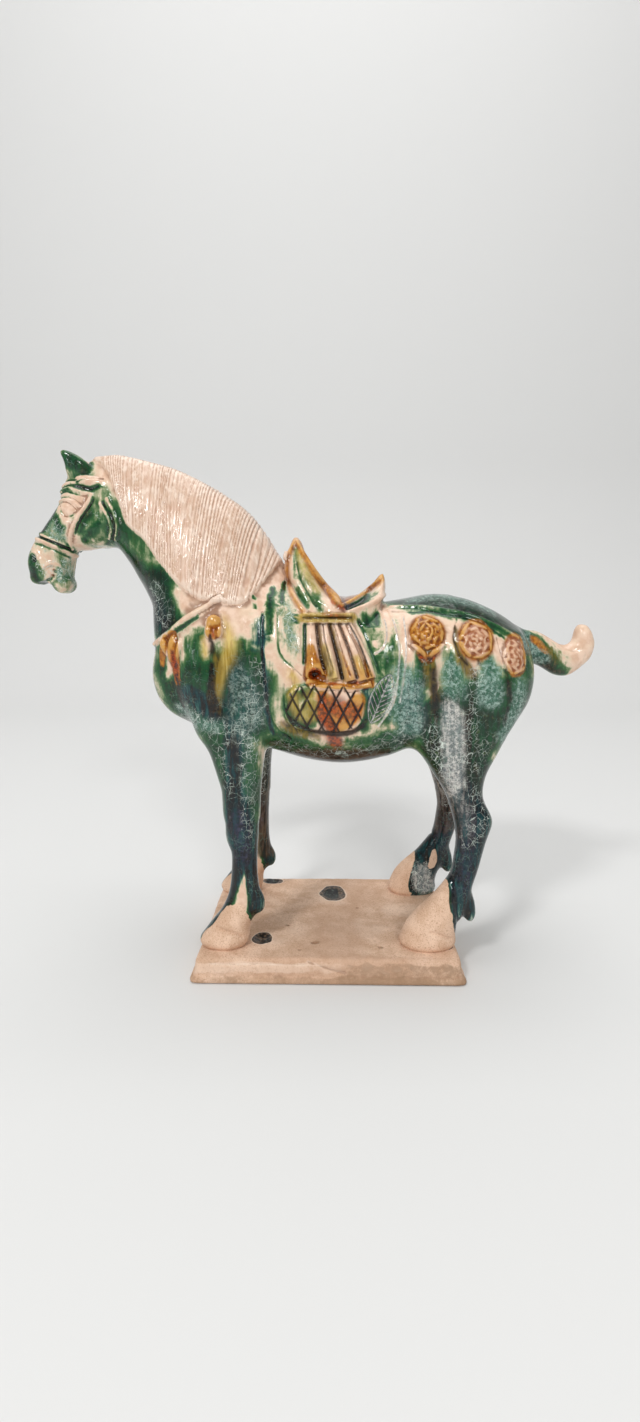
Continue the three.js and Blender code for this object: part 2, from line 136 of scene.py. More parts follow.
# Muscles: middle, radii, tilt in the flank's plane in degrees, and width of the fillet round them.
MUSCLES = [
    [(-49, 17, 124), (15, 13.5, 23), 8, 6],
    [(-66, 11, 120), (9.5, 10, 15), 20, 4],
    [(-44, 18.5, 104), (13, 11.5, 12), 0, 5],
    [(61, 15.5, 124), (23, 15.5, 23), -10, 7],
    [(43, 20, 105), (9, 9, 13), -14, 5],
    [(60, 21, 98), (11, 9, 14), -24, 5],
    [(5, 14, 112), (44, 17.5, 24), 0, 8],
    [(-37.5, 24, 56), (5.6, 6.6, 6.6), 0, 3],
    [(61, 23.8, 62), (6.6, 6.2, 8), 0, 3],
]

# What goes on after the head: cheek, eye, nose, lips and fetlocks
FACE_AND_FETLOCKS = [
    [(-101.2, 5.2, 187.6), (8.4, 6.6, 8.2), 0, 1.1],
    [(-112.6, 7.6, 195), (4, 3.5, 3), -26, 1.0],
    [(-127, 4, 172.6), (5.4, 4.8, 6), 0, 3],
    [(-129.8, 2.6, 165.6), (3.4, 4, 2.8), -4, 1],
    [(-119, 2, 163), (4.6, 4.6, 4.2), -10, 1],
    [(-29.6, 26, 27.4), (2.8, 3, 5), 8, 2],
    [(59.4, 26.2, 26.6), (3.2, 3, 7.6), 10, 2],
]


def smooth_through(rows, steps):
    """The rows of a table, with curves through them and `steps` rows to each gap."""
    rows = np.asarray(rows, float)
    padded = np.vstack([2 * rows[0] - rows[1], rows, 2 * rows[-1] - rows[-2]])
    at = np.linspace(0, len(rows) - 1, (len(rows) - 1) * steps + 1)
    gap = np.minimum(at.astype(int), len(rows) - 2)
    t = (at - gap)[:, None]
    before, first, second, after = (padded[gap + k] for k in range(4))
    bend = 2 * before - 5 * first + 4 * second - after
    twist = 3 * first - before - 3 * second + after
    return first + 0.5 * t * ((second - before) + t * (bend + t * twist))


def skin_over(rings):
    """Points and faces of a closed skin over rings of equally many points."""
    rings = np.asarray(rings)
    count = rings.shape[1]
    low = np.arange(len(rings) - 1)[:, None] * count
    here = np.arange(count)[None, :]
    ahead = (here + 1) % count
    sides = np.stack([low + here, low + ahead, low + count + ahead, low + count + here], -1).reshape(-1, 4)
    points = np.vstack([rings.reshape(-1, 3), rings[0].mean(0), rings[-1].mean(0)])
    near, far = len(points) - 2, len(points) - 1
    last = (len(rings) - 1) * count
    ring = np.arange(count)
    onward = (ring + 1) % count
    caps = np.vstack(
        [
            np.stack([ring, np.full(count, near), onward], -1),
            np.stack([last + ring, last + onward, np.full(count, far)], -1),
        ]
    )
    faces = np.vstack([sides[:, [0, 1, 2]], sides[:, [0, 2, 3]], caps])
    return points, faces


def limb(stations, power=2.15, keel=0.0, sides=144, steps=12):
    """A closed skin over a table of stations.

    Power 2 makes its sections ellipses, and more makes them squarer. A keel narrows their upper side.
    """
    table = smooth_through(stations, steps)
    angle = np.linspace(0, 2 * np.pi, sides, endpoint=False)
    along = np.sign(np.cos(angle)) * np.abs(np.cos(angle)) ** (2 / power)
    across = np.sign(np.sin(angle)) * np.abs(np.sin(angle)) ** (2 / power)
    share = (1 + along)[None, :] / 2
    x = table[:, 2, None] + (table[:, 0] - table[:, 2])[:, None] * share
    z = table[:, 3, None] + (table[:, 1] - table[:, 3])[:, None] * share
    y = table[:, 4, None] + across * table[:, 5, None] * (1 - keel * along)
    return skin_over(np.stack([x, y, z], -1))


def cloudy(points, size, seed):
    """Smooth noise from -1 to 1 at points, with lumps of about `size`."""
    cells = 32
    lattice = np.random.default_rng(seed).uniform(-1, 1, (cells, cells, cells))
    at = points / size
    low = np.floor(at).astype(int)
    t = at - low
    t = t * t * (3 - 2 * t)
    low %= cells
    high = (low + 1) % cells
    total = 0
    for corner in range(8):
        picked = [high if corner >> axis & 1 else low for axis in range(3)]
        weight = 1
        for axis in range(3):
            weight = weight * (t[:, axis] if corner >> axis & 1 else 1 - t[:, axis])
        total = total + weight * lattice[picked[0][:, 0], picked[1][:, 1], picked[2][:, 2]]
    return total


def ramp(value, low, high):
    """0 below low, 1 above high, and smooth between."""
    t = np.clip((value - low) / (high - low), 0, 1)
    return t * t * (3 - 2 * t)


class Clay:
    """A field of distances to the surface of a body, negative inside, that forms are pressed into.

    A mirrored one holds y from zero up, with samples on the middle plane, and meshes both flanks.
    """

    # Samples on each side of the surface that the distances are good for
    BAND = 10
    # Room left round the box
    MARGIN = 3

    def __init__(self, box, step, mirrored=True):
        low, high = ([v / MM for v in corner] for corner in box)
        self.step = step
        self.reach = self.BAND * step
        self.mirrored = mirrored
        self.low = np.array(low) - self.MARGIN
        if mirrored:
            self.low[1] = 0
        self.shape = np.ceil((np.array(high) + self.MARGIN - self.low) / step).astype(int) + 1
        self.grid = np.full(self.shape, self.reach, np.float32)

    def _span(self, low, high):
        first = np.maximum(np.floor((low - self.low) / self.step).astype(int), 0)
        last = np.minimum(np.ceil((high - self.low) / self.step).astype(int) + 1, self.shape)
        return first, last

    def _fuse(self, first, box, fillet, cut=False):
        last = first + box.shape
        mine = self.grid[first[0] : last[0], first[1] : last[1], first[2] : last[2]]
        if cut:
            share = np.clip(0.5 - 0.5 * (mine + box) / fillet, 0, 1)
            mine[...] = mine + (-box - mine) * share + fillet * share * (1 - share)
        else:
            share = np.clip(0.5 + 0.5 * (box - mine) / fillet, 0, 1)
            mine[...] = box + (mine - box) * share - fillet * share * (1 - share)

    def add(self, points, faces, fillet):
        """Fuses a closed mesh into the clay, with a fillet of that width round it."""
        first, last = self._span(points.min(0) - self.reach, points.max(0) + self.reach)
        level = openvdb.FloatGrid.createLevelSetFromPolygons(
            ((points - self.low) / self.step).astype(np.float32),
            triangles=faces.astype(np.uint32),
            halfWidth=float(self.BAND),
        )
        box = np.empty(last - first, np.float32)
        level.copyToArray(box, ijk=tuple(int(i) for i in first))
        self._fuse(first, box * self.step, fillet)

    def lump(self, middle, radii, tilt, fillet, cut=False):
        """Fuses an egg shape into the clay, or scoops it out."""
        middle, radii = np.array(middle, float), np.array(radii, float)
        reach = radii.max() + self.reach
        first, last = self._span(middle - reach, middle + reach)
        x, y, z = (self.low[k] + self.step * np.arange(first[k], last[k]) - middle[k] for k in range(3))
        x, y, z = x[:, None, None], y[None, :, None], z[None, None, :]
        turn = math.radians(tilt)
        x, z = x * math.cos(turn) + z * math.sin(turn), z * math.cos(turn) - x * math.sin(turn)
        tiny = 1e-6
        wide, deep, tall = radii
        near = np.sqrt((x / wide) ** 2 + (y / deep) ** 2 + (z / tall) ** 2) + tiny
        slope = np.sqrt((x / wide**2) ** 2 + (y / deep**2) ** 2 + (z / tall**2) ** 2) + tiny
        box = np.minimum(near * (near - 1) / slope, self.reach)
        self._fuse(first, box.astype(np.float32), fillet, cut)

    def knob(self, x, z, radii, tilt, fillet):
        """Presses an egg shape on the flank, with its middle in the skin at [x, z]."""
        self.lump((x, float(self.flank(x, z)), z), radii, tilt, fillet)

    def soften(self, passes):
        """Rounds off creases, the more the more passes."""
        for _ in range(passes):
            for axis in range(3):
                held = np.moveaxis(self.grid, axis, 0)
                mirror = held[1:2] if axis == 1 and self.mirrored else held[:1]
                ahead = np.concatenate([held[1:], held[-1:]])
                behind = np.concatenate([mirror, held[:-1]])
                held[...] = 0.5 * held + 0.25 * (ahead + behind)

    def flank(self, x, z):
        """How far the outer surface lies from the middle plane at [x, z]."""
        inside = self.grid < 0
        outermost = self.shape[1] - 1 - np.argmax(inside[:, ::-1, :], axis=1)
        outermost = np.where(inside.any(1), outermost, 0)
        rows, columns = np.indices(outermost.shape)
        beyond = np.minimum(outermost + 1, self.shape[1] - 1)
        here, there = self.grid[rows, outermost, columns], self.grid[rows, beyond, columns]
        depth = np.where(here < 0, (outermost + here / (here - there - 1e-9)) * self.step, 0)
        i = np.clip((np.asarray(x) - self.low[0]) / self.step, 0, self.shape[0] - 1.001)
        k = np.clip((np.asarray(z) - self.low[2]) / self.step, 0, self.shape[2] - 1.001)
        i0, k0 = i.astype(int), k.astype(int)
        s, t = i - i0, k - k0
        lower = depth[i0, k0] * (1 - s) + depth[i0 + 1, k0] * s
        upper = depth[i0, k0 + 1] * (1 - s) + depth[i0 + 1, k0 + 1] * s
        return lower * (1 - t) + upper * t

    def meshed(self):
        """Points and triangles of the whole surface, both flanks, facing out."""
        whole = np.concatenate([self.grid[:, :0:-1], self.grid], axis=1) if self.mirrored else self.grid
        level = openvdb.FloatGrid(float(self.reach))
        level.copyFromArray(np.ascontiguousarray(whole), tolerance=1e-4)
        points, quads = level.convertToQuads(0.0)
        points = points.astype(float)
        if self.mirrored:
            points[:, 1] -= self.shape[1] - 1
        points = points * self.step + self.low
        faces = np.vstack([quads[:, [0, 1, 2]], quads[:, [0, 2, 3]]]).astype(np.int64)
        a, b, c = (points[faces[:, k]] for k in range(3))
        if np.einsum("ij,ij->", a, np.cross(b, c)) < 0:
            faces = faces[:, ::-1]
        return largest_shell(points, faces)


def largest_shell(points, faces):
    """Only the largest connected shell of a mesh."""
    label = np.arange(len(points))
    while True:
        lowest = label[faces].min(1)
        fresh = label.copy()
        for k in range(3):
            np.minimum.at(fresh, faces[:, k], lowest)
        fresh = fresh[fresh]
        if (fresh == label).all():
            break
        label = fresh
    names, counts = np.unique(label[faces[:, 0]], return_counts=True)
    kept = faces[label[faces[:, 0]] == names[counts.argmax()]]
    used = np.unique(kept)
    renumbered = np.full(len(points), -1)
    renumbered[used] = np.arange(len(used))
    return points[used], renumbered[kept]


def refined(points, faces, wanted):
    """The mesh with each edge halved where both its ends are wanted. Neighbours are split to match."""
    edges = np.vstack([faces[:, [0, 1]], faces[:, [1, 2]], faces[:, [2, 0]]])
    ordered = np.sort(edges, 1)
    keys, place = np.unique(ordered[:, 0] * len(points) + ordered[:, 1], return_inverse=True)
    ends = np.stack([keys // len(points), keys % len(points)], -1)
    split = wanted[ends].all(1)
    number = np.full(len(keys), -1)
    number[split] = len(points) + np.arange(split.sum())
    middles = number[place].reshape(3, -1).T
    points = np.vstack([points, points[ends[split]].mean(1)])
    marked = middles >= 0
    count = marked.sum(1)
    made = [faces[count == 0]]
    for turn in range(3):
        a, b, c = np.roll(faces, -turn, 1).T
        ab, bc, _ = np.roll(middles, -turn, 1).T
        mark = np.roll(marked, -turn, 1)
        one = (count == 1) & mark[:, 0]
        made += [np.stack(t, -1)[one] for t in ([a, ab, c], [ab, b, c])]
        two = (count == 2) & mark[:, 0] & mark[:, 1]
        made += [np.stack(t, -1)[two] for t in ([ab, b, bc], [a, ab, bc], [a, bc, c])]
    a, b, c = faces.T
    ab, bc, ca = middles.T
    full = count == 3
    made += [np.stack(t, -1)[full] for t in ([a, ab, ca], [ab, b, bc], [ca, bc, c], [ab, bc, ca])]
    return points, np.vstack(made)


def normals_of(points, faces):
    a, b, c = (points[faces[:, k]] for k in range(3))
    across = np.cross(b - a, c - a)
    total = np.zeros_like(points)
    for axis in range(3):
        for k in range(3):
            total[:, axis] += np.bincount(faces[:, k], across[:, axis], len(points))
    return total / np.maximum(np.linalg.norm(total, axis=1, keepdims=True), 1e-12)


def to_mesh(name, points, faces):
    """A Blender mesh, in metres, from points in millimetres."""
    mesh = bpy.data.meshes.new(name)
    mesh.vertices.add(len(points))
    mesh.vertices.foreach_set("co", (points * MM).astype(np.float32).ravel())
    mesh.loops.add(faces.size)
    mesh.loops.foreach_set("vertex_index", faces.astype(np.int32).ravel())
    mesh.polygons.add(len(faces))
    mesh.polygons.foreach_set("loop_start", np.arange(0, faces.size, faces.shape[1], dtype=np.int32))
    mesh.update(calc_edges=True)
    mesh.validate()
    return mesh


def linked(name, data):
    thing = bpy.data.objects.new(name, data)
    bpy.context.scene.collection.objects.link(thing)
    return thing


def baked_arrays(thing):
    """Points in millimetres and triangles of an object with its modifiers. It is then removed."""
    bpy.context.view_layer.update()
    evaluated = thing.evaluated_get(bpy.context.evaluated_depsgraph_get())
    mesh = bpy.data.meshes.new_from_object(evaluated)
    bpy.data.objects.remove(thing)
    points = np.empty(len(mesh.vertices) * 3, np.float32)
    mesh.vertices.foreach_get("co", points)
    mesh.calc_loop_triangles()
    faces = np.empty(len(mesh.loop_triangles) * 3, np.int32)
    mesh.loop_triangles.foreach_get("vertices", faces)
    bpy.data.meshes.remove(mesh)
    return points.reshape(-1, 3).astype(float) / MM, faces.reshape(-1, 3).astype(np.int64)


def thinned(points, faces, most):
    """The mesh with at most that many triangles, fewest where it is flattest."""
    if len(faces) <= most:
        return points, faces
    thing = linked("thinning", to_mesh("thinning", points, faces))
    modifier = thing.modifiers.new("Thin", "DECIMATE")
    modifier.ratio = most / len(faces)
    return baked_arrays(thing)


def arithmetic(operation, swapped=False):
    """A method of Number that adds a Math node."""

    def method(self, other):
        first, second = (other, self) if swapped else (self, other)
        return self.graph.number("ShaderNodeMath", {"operation": operation}, {0: first, 1: second})

    return method


class Number:
    """A number socket, so that sums on sockets are written as Python expressions."""

    def __init__(self, graph, socket):
        self.graph = graph
        self.socket = socket

    __add__, __radd__ = arithmetic("ADD"), arithmetic("ADD", swapped=True)
    __sub__, __rsub__ = arithmetic("SUBTRACT"), arithmetic("SUBTRACT", swapped=True)
    __mul__, __rmul__ = arithmetic("MULTIPLY"), arithmetic("MULTIPLY", swapped=True)
    most, least = arithmetic("MAXIMUM"), arithmetic("MINIMUM")

    def step(self, low, high):
        """0 below low, 1 above high, and smooth between."""
        inputs = {"Value": self, "From Min": low, "From Max": high}
        return self.graph.number("ShaderNodeMapRange", {"interpolation_type": "SMOOTHSTEP"}, inputs)


class Graph:
    """Builds a node tree."""

    # The sockets that a Mix node uses for colours
    SHARE, FIRST, SECOND, MIXED = 0, 6, 7, 2

    def __init__(self, tree):
        self.tree = tree

    def add(self, kind, settings=None, inputs=None):
        """One node of that type. Its settings are set first, then its sockets are given values or links."""
        node = self.tree.nodes.new(kind)
        for name, value in (settings or {}).items():
            if name == "stops":
                ramp_stops(node.color_ramp, value)
            else:
                setattr(node, name, value)
        for name, value in (inputs or {}).items():
            if isinstance(value, Number):
                value = value.socket
            elif isinstance(value, bpy.types.Node):
                value = value.outputs[0]
            if isinstance(value, bpy.types.NodeSocket):
                self.tree.links.new(value, node.inputs[name])
            else:
                node.inputs[name].default_value = value
        return node

    def number(self, kind, settings=None, inputs=None, output=0):
        return Number(self, self.add(kind, settings, inputs).outputs[output])

    def mix(self, share, first, second):
        """The second colour over the first, by a share."""
        settings = {"data_type": "RGBA", "clamp_factor": True}
        inputs = {self.SHARE: share, self.FIRST: first, self.SECOND: second}
        return self.add("ShaderNodeMix", settings, inputs).outputs[self.MIXED]


def ramp_stops(band, stops):
    while len(band.elements) > len(stops):
        band.elements.remove(band.elements[-1])
    for place, (at, colour) in enumerate(stops):
        element = band.elements[place] if place < len(band.elements) else band.elements.new(at)
        element.position = at
        element.color = colour


def geometry_tree(name, sizes):
    """A Geometry Nodes tree with a geometry in and out, a material, and named sizes with their defaults."""
    tree = bpy.data.node_groups.new(name, "GeometryNodeTree")
    tree.interface.new_socket("Geometry", in_out="INPUT", socket_type="NodeSocketGeometry")
    for label, default in sizes.items():
        kind = "NodeSocketInt" if isinstance(default, int) else "NodeSocketFloat"
        tree.interface.new_socket(label, in_out="INPUT", socket_type=kind).default_value = default
    tree.interface.new_socket("Material", in_out="INPUT", socket_type="NodeSocketMaterial")
    tree.interface.new_socket("Geometry", in_out="OUTPUT", socket_type="NodeSocketGeometry")
    graph = Graph(tree)
    return graph, graph.add("NodeGroupInput").outputs


def finish_tree(graph, made, given):
    realized = graph.add("GeometryNodeRealizeInstances", None, {"Geometry": made})
    inputs = {"Geometry": realized, "Material": given["Material"]}
    graph.add("NodeGroupOutput", None, {"Geometry": graph.add("GeometryNodeSetMaterial", None, inputs)})
    return graph.tree


def tube_tree():
    """Tubes along curves, as thick at each point as the curve's radius there."""
    graph, given = geometry_tree("Tubes Along Paths", {"Thickness": 1.0, "Sides": 16})
    inputs = {"Resolution": given["Sides"], "Radius": given["Thickness"]}
    profile = graph.add("GeometryNodeCurvePrimitiveCircle", None, inputs)
    radius = graph.add("GeometryNodeInputRadius")
    inputs = {"Curve": given["Geometry"], "Profile Curve": profile, "Scale": radius, "Fill Caps": True}
    return finish_tree(graph, graph.add("GeometryNodeCurveToMesh", None, inputs), given)


def rosette_tree():
    """A flower of petals in rings on a low dome, lying flat, with a round eye."""
    names = {"Radius": 1.0, "Height": 1.0, "Petals": 5, "Petal Width": 0.7, "Turn": 0.5}
    graph, given = geometry_tree("Rosette", names)
    radius, height = Number(graph, given["Radius"]), Number(graph, given["Height"])
    width, turn = Number(graph, given["Petal Width"]), Number(graph, given["Turn"])

    def spaced(x=0.0, y=0.0, z=0.0):
        return graph.add("ShaderNodeCombineXYZ", None, {"X": x, "Y": y, "Z": z})

    def egg(wide, long, tall, rise):
        ball = graph.add("GeometryNodeMeshUVSphere", None, {"Segments": 24, "Rings": 14, "Radius": 1.0})
        size = spaced(radius * long, radius * wide, height * tall)
        inputs = {"Geometry": ball, "Scale": size, "Translation": spaced(z=height * rise)}
        return graph.add("GeometryNodeTransform", None, inputs)

    def petal_ring(place, share, long, tall, rise):
        inputs = {"Vertices": given["Petals"], "Radius": radius * share}
        circle = graph.add("GeometryNodeMeshCircle", None, inputs)
        outward = {"Vector": graph.add("GeometryNodeInputPosition")}
        facing = graph.add("FunctionNodeAlignEulerToVector", {"axis": "X"}, outward)
        petal = egg(width * share, long, tall, rise)
        inputs = {"Points": circle, "Instance": petal, "Rotation": facing}
        spread = graph.add("GeometryNodeInstanceOnPoints", None, inputs)
        inputs = {"Geometry": spread, "Rotation": spaced(z=turn * place)}
        return graph.add("GeometryNodeTransform", None, inputs)

    # How far out each ring lies, and its petals' length, height and rise. Each ring turns on from the last.
    RINGS = [
        (0.82, 0.17, 0.5, 0.02),
        (0.62, 0.14, 0.46, 0.22),
        (0.43, 0.12, 0.44, 0.38),
        (0.24, 0.1, 0.4, 0.52),
    ]
    parts = [egg(0.86, 0.86, 0.56, -0.08)]
    parts += [petal_ring(place, *ring) for place, ring in enumerate(RINGS)]
    parts += [egg(0.11, 0.11, 0.4, 0.64)]
    joined = graph.add("GeometryNodeJoinGeometry")
    for part in parts:
        graph.tree.links.new(part.outputs[0], joined.inputs[0])
    return finish_tree(graph, joined, given)


def grown(name, data, tree, values):
    """The points and triangles that a tree grows on an object's data. Both are in millimetres already."""
    thing = linked(name, data)
    modifier = thing.modifiers.new(name, "NODES")
    modifier.node_group = tree
    for item in tree.interface.items_tree:
        if item.in_out == "INPUT" and item.name in values:
            modifier[item.identifier] = values[item.name]
    points, faces = baked_arrays(thing)
    return points * MM, faces


# What one operator leaves for the next
workshop = {}


def clay():
    if "clay" not in workshop:
        raise RuntimeError("model the body first: there is no clay to press this into")
    return workshop["clay"]


def press_tubes(name, paths, fillet):
    """Lays tubes into the clay through rows of x, y, z and radius."""
    data = bpy.data.curves.new(name, "CURVE")
    data.dimensions = "3D"
    for path in paths:
        spline = data.splines.new("POLY")
        spline.points.add(len(path) - 1)
        for point, (x, y, z, radius) in zip(spline.points, path):
            point.co = (x, y, z, 1)
            point.radius = radius
    clay().add(*grown(name, data, workshop["tubes"], {"Thickness": 1.0, "Sides": 16}), fillet)


def press_ridges(name, ridges, fillet):
    """Lays ridges on the flank. Each is x, z, radius and lift above the skin, point after point."""
    paths = []
    for ridge in ridges:
        x, z, radius, lift = smooth_through(np.reshape(ridge, (-1, 4)), 5).T
        paths.append(np.stack([x, clay().flank(x, z) + lift, z, radius], -1))
    press_tubes(name, paths, fillet)


class BodySizes(bpy.types.PropertyGroup):
    voxel: bpy.props.FloatProperty(
        name="Voxel", description="Spacing of the field of the casting, in millimetres", default=0.5
    )
    triangles: bpy.props.IntProperty(
        name="Triangles", description="Most triangles on the horse", default=196000, min=20000, max=199000
    )
    mane_locks: bpy.props.IntProperty(
        name="Mane Locks", description="Combed strands between poll and withers", default=52, min=20, max=90
    )
    mane_depth: bpy.props.FloatProperty(
        name="Mane Depth", description="Depth of the combing, in millimetres", default=0.5, min=0, max=1
    )
    slab_flare: bpy.props.FloatProperty(
        name="Slab Flare", description="How far the slab's foot spreads, in millimetres", default=2.5, min=0
    )
    slab_edge: bpy.props.FloatProperty(
        name="Slab Edge", description="Rounding of the slab's upper edge, in millimetres",
        default=1.2, min=0,
    )
    slab_triangles: bpy.props.IntProperty(
        name="Slab Triangles", description="Most triangles on the finished slab", default=60000, min=5000
    )


class ModelBody(bpy.types.Operator):
    """Model trunk, neck, head, legs and tail in clay"""

    bl_idname = "sancai.model_body"
    bl_label = "Model Body"

    # Middle, radii, tilt and fillet of what is scooped out for the mouth and the ear
    MOUTH = (-125.4, 0, 161.7), (1.5, 9, 2.1), 20, 0.5
    EAR_HOLLOW = (-116.4, 8.2, 214.6), (2.6, 2, 4.6), 14, 0.7
    QUICK_VOXEL, SUNK = 0.8, 0.35

    def execute(self, context):
        sizes = context.scene.horse_sizes
        body = Clay(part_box("horse"), sizes.voxel)
        workshop["clay"] = body
        workshop["tubes"] = tube_tree()
        body.add(*limb(TRUNK, power=2.3), fillet=1)
        body.add(*limb(NECK, power=2.1, keel=0.3), fillet=5)
        body.add(*limb(HIND_LEG), fillet=4)
        body.add(*limb(FORE_LEG), fillet=3)
        for lump in MUSCLES:
            body.lump(*lump)
        body.add(*limb(HEAD, power=2.25, keel=-0.08), fillet=2)
        for lump in FACE_AND_FETLOCKS:
            body.lump(*lump)
        body.lump(*self.MOUTH, cut=True)
        body.add(*limb(EAR, sides=40), fillet=1)
        body.lump(*self.EAR_HOLLOW, cut=True)
        body.add(*limb(TAIL), fillet=2)
        body.soften(5)
        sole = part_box("base")[1].z / MM - self.SUNK
        z = body.low[2] + body.step * np.arange(body.shape[2])
        body.grid = np.maximum(body.grid, (sole - z).astype(np.float32))
        return {"FINISHED"}


class ModelSaddle(bpy.types.Operator):
    """Model the saddle with its pommel, seat, cantle and rims"""

    bl_idname = "sancai.model_saddle"
    bl_label = "Model Saddle"

    RIMS = [
        (-14.8, 182.2, 0.7, 0, -16.6, 178, 1, 0, -17.8, 173, 1.3, 0, -17.9, 167, 1.4, 0,
         -16.6, 161, 1.5, 0.1, -13.8, 155.6, 1.5, 0.1, -10.6, 151.4, 1.4, 0.1, -9.2, 150, 1.1, 0),
        (-14.2, 182.2, 0.7, 0, -12, 177, 1.4, -0.3, -9, 171, 2, -0.6, -5.2, 165, 2.4, -0.8,
         -1.2, 160, 2.6, -0.9, 2.6, 156, 2.4, -0.7, 4.6, 152.6, 1.8, -0.3),
        (5, 152.4, 1.3, 0.1, 11, 155.4, 1.4, 0.1, 16.6, 159.2, 1.4, 0.1, 21, 163, 1.3, 0,
         23.4, 166.6, 0.9, 0),
        (7, 150.6, 1, 0.1, 14, 152.8, 1.1, 0.1, 20, 155.2, 1.1, 0.1, 24.4, 158, 0.9, 0),
    ]

    def execute(self, context):
        for form, fillet in ((POMMEL, 0.8), (CANTLE, 0.8), (SEAT, 2)):
            clay().add(*limb(form, power=2.4), fillet)
        press_ridges("saddle_rims", self.RIMS, 0.9)
        return {"FINISHED"}


class ModelCloth(bpy.types.Operator):
    """Model the tied cloth, its folds and the bands across it"""

    bl_idname = "sancai.model_cloth"
    bl_label = "Model Cloth"

    FOLDS = [
        (-7.2, 146, 1.9, -0.5, -6.8, 139, 2.4, -0.2, -6.1, 132, 3.1, 0, -5.3, 127.4, 4, 0.2,
         -5, 124.8, 4.3, 0.2),
        (-2, 146, 2.2, -0.9, -1.2, 138, 2.4, -0.6, 0.4, 130, 2.6, -0.2, 1.8, 123.6, 2.7, -0.2),
        (2.4, 146, 1.9, -0.6, 4.8, 138, 2.2, -0.3, 7.2, 130, 2.6, 0, 9, 122.8, 2.7, 0),
        (6.2, 146, 1.8, -0.6, 9.2, 138, 2.1, -0.3, 12, 130, 2.4, 0, 14, 123, 2.5, 0),
        (8.6, 145.6, 1.2, -0.2, 12, 138.6, 1.4, 0, 15.6, 130.6, 1.7, 0.2, 17.6, 124, 1.7, 0.2),
        (-8.6, 122.8, 1.5, -0.2, -3, 120.9, 1.5, 0, 3, 121.4, 1.5, 0, 10, 120.4, 1.5, 0,
         17.4, 121.6, 1.3, 0),
    ]
    BANDS = [
        (-10.6, 149.4, 0.8, 0.5, 0, 149.2, 0.85, 0.6, 9.8, 149.4, 0.8, 0.5),
        (-10.6, 146.9, 0.8, 0.5, 0, 146.7, 0.85, 0.6, 9.8, 146.9, 0.8, 0.5),
    ]

    def execute(self, context):
        press_ridges("folds", self.FOLDS, 0.5)
        # The hollow where the folds are tied
        skin = float(clay().flank(-5.4, 125))
        clay().lump((-5.3, skin + 1.2, 125.4), (2.8, 4, 2), 8, 0.8, cut=True)
        press_ridges("girth_bands", self.BANDS, 0.3)
        return {"FINISHED"}


class ModelHarness(bpy.types.Operator):
    """Model bridle, breast strap, pendants and crupper"""

    bl_idname = "sancai.model_harness"
    bl_label = "Model Harness"

    STRAPS = [
        (-130.2, 183.2, 0.7, 0, -126, 181.8, 0.8, 0.1, -121, 179.8, 0.8, 0.1, -116, 177.4, 0.8, 0.1,
         -113, 175.4, 0.7, 0),
        (-127.6, 185.2, 0.5, 0, -123, 183, 0.6, 0, -118, 181, 0.6, 0, -114, 179.4, 0.5, 0),
        (-101.4, 201, 0.8, 0, -104, 196.6, 0.8, 0, -108.4, 190, 0.8, 0, -111.8, 184, 0.8, 0,
         -113.2, 178, 0.7, 0),
        (-118.4, 202.6, 0.5, 0, -113, 203.6, 0.6, 0, -107, 202.4, 0.6, 0, -101.6, 201, 0.6, 0),
        (-117.4, 205, 0.5, 0, -113, 206, 0.6, 0, -108, 205.8, 0.6, 0, -103, 204.4, 0.5, 0),
        (-97.8, 197, 0.7, 0, -94.4, 191.4, 0.8, 0, -93.2, 186.4, 0.8, 0, -95.4, 182, 0.7, 0),
        (-94.6, 199, 0.6, 0, -91.4, 192.4, 0.7, 0, -90.2, 186.4, 0.7, 0, -92.2, 181.4, 0.6, 0),
        (-44, 156.4, 0.8, 0, -48.2, 153.8, 1.1, 0.2, -53.4, 150.8, 1.2, 0.2, -58.6, 147.6, 1.3, 0.2,
         -67.2, 141.4, 1.2, 0.2, -73, 137.4, 1, 0.2),
        (-49, 151.2, 0.4, 0, -58, 145.6, 0.5, 0, -66.6, 139.4, 0.5, 0),
        (26, 152.6, 0.8, 0, 38, 152.6, 1, 0.1, 50, 151, 1, 0.1, 60, 148.6, 1, 0.1, 70, 144.4, 0.9, 0.1,
         79, 139.6, 0.7, 0),
    ]
    # Middle x and z, radii and tilt of the pendants' drops, and last of the forelock
    DROPS = [
        (-46.8, 145.4, (3.5, 2.2, 4.2), 0),
        (-48.9, 142.4, (1.5, 1.7, 2.6), 8),
        (-46.6, 141.4, (1.4, 1.7, 3), 0),
        (-44.2, 142.4, (1.5, 1.7, 2.6), -8),
        (-64.2, 135.4, (2.4, 2, 6), -6),
        (-67.4, 135.6, (2.1, 1.9, 4.8), 30),
        (-61.6, 134.6, (1.3, 1.5, 5), -8),
        (-102.8, 206.4, (6.6, 2.4, 2.6), -10),
    ]

    def execute(self, context):
        press_ridges("straps", self.STRAPS, 0.5)
        self.chest_strap()
        for x, z, radii, tilt in self.DROPS:
            clay().knob(x, z, radii, tilt, 0.5)
        return {"FINISHED"}

    def chest_strap(self):
        """The breast strap where it goes on round the front of the chest."""
        SIDE, HEIGHT, DIP, THICK = 14, 136.9, 1.2, 1.0
        y = np.linspace(SIDE, -4, 10)
        x = np.linspace(-82, -66, 65)
        reach = clay().flank(x, np.full_like(x, HEIGHT))
        x = np.interp(np.abs(y), reach[reach > 0], x[reach > 0])
        path = np.stack([x, y, HEIGHT - DIP * (1 - np.abs(y) / SIDE), np.full_like(y, THICK)], -1)
        press_tubes("chest_strap", [path], 0.5)


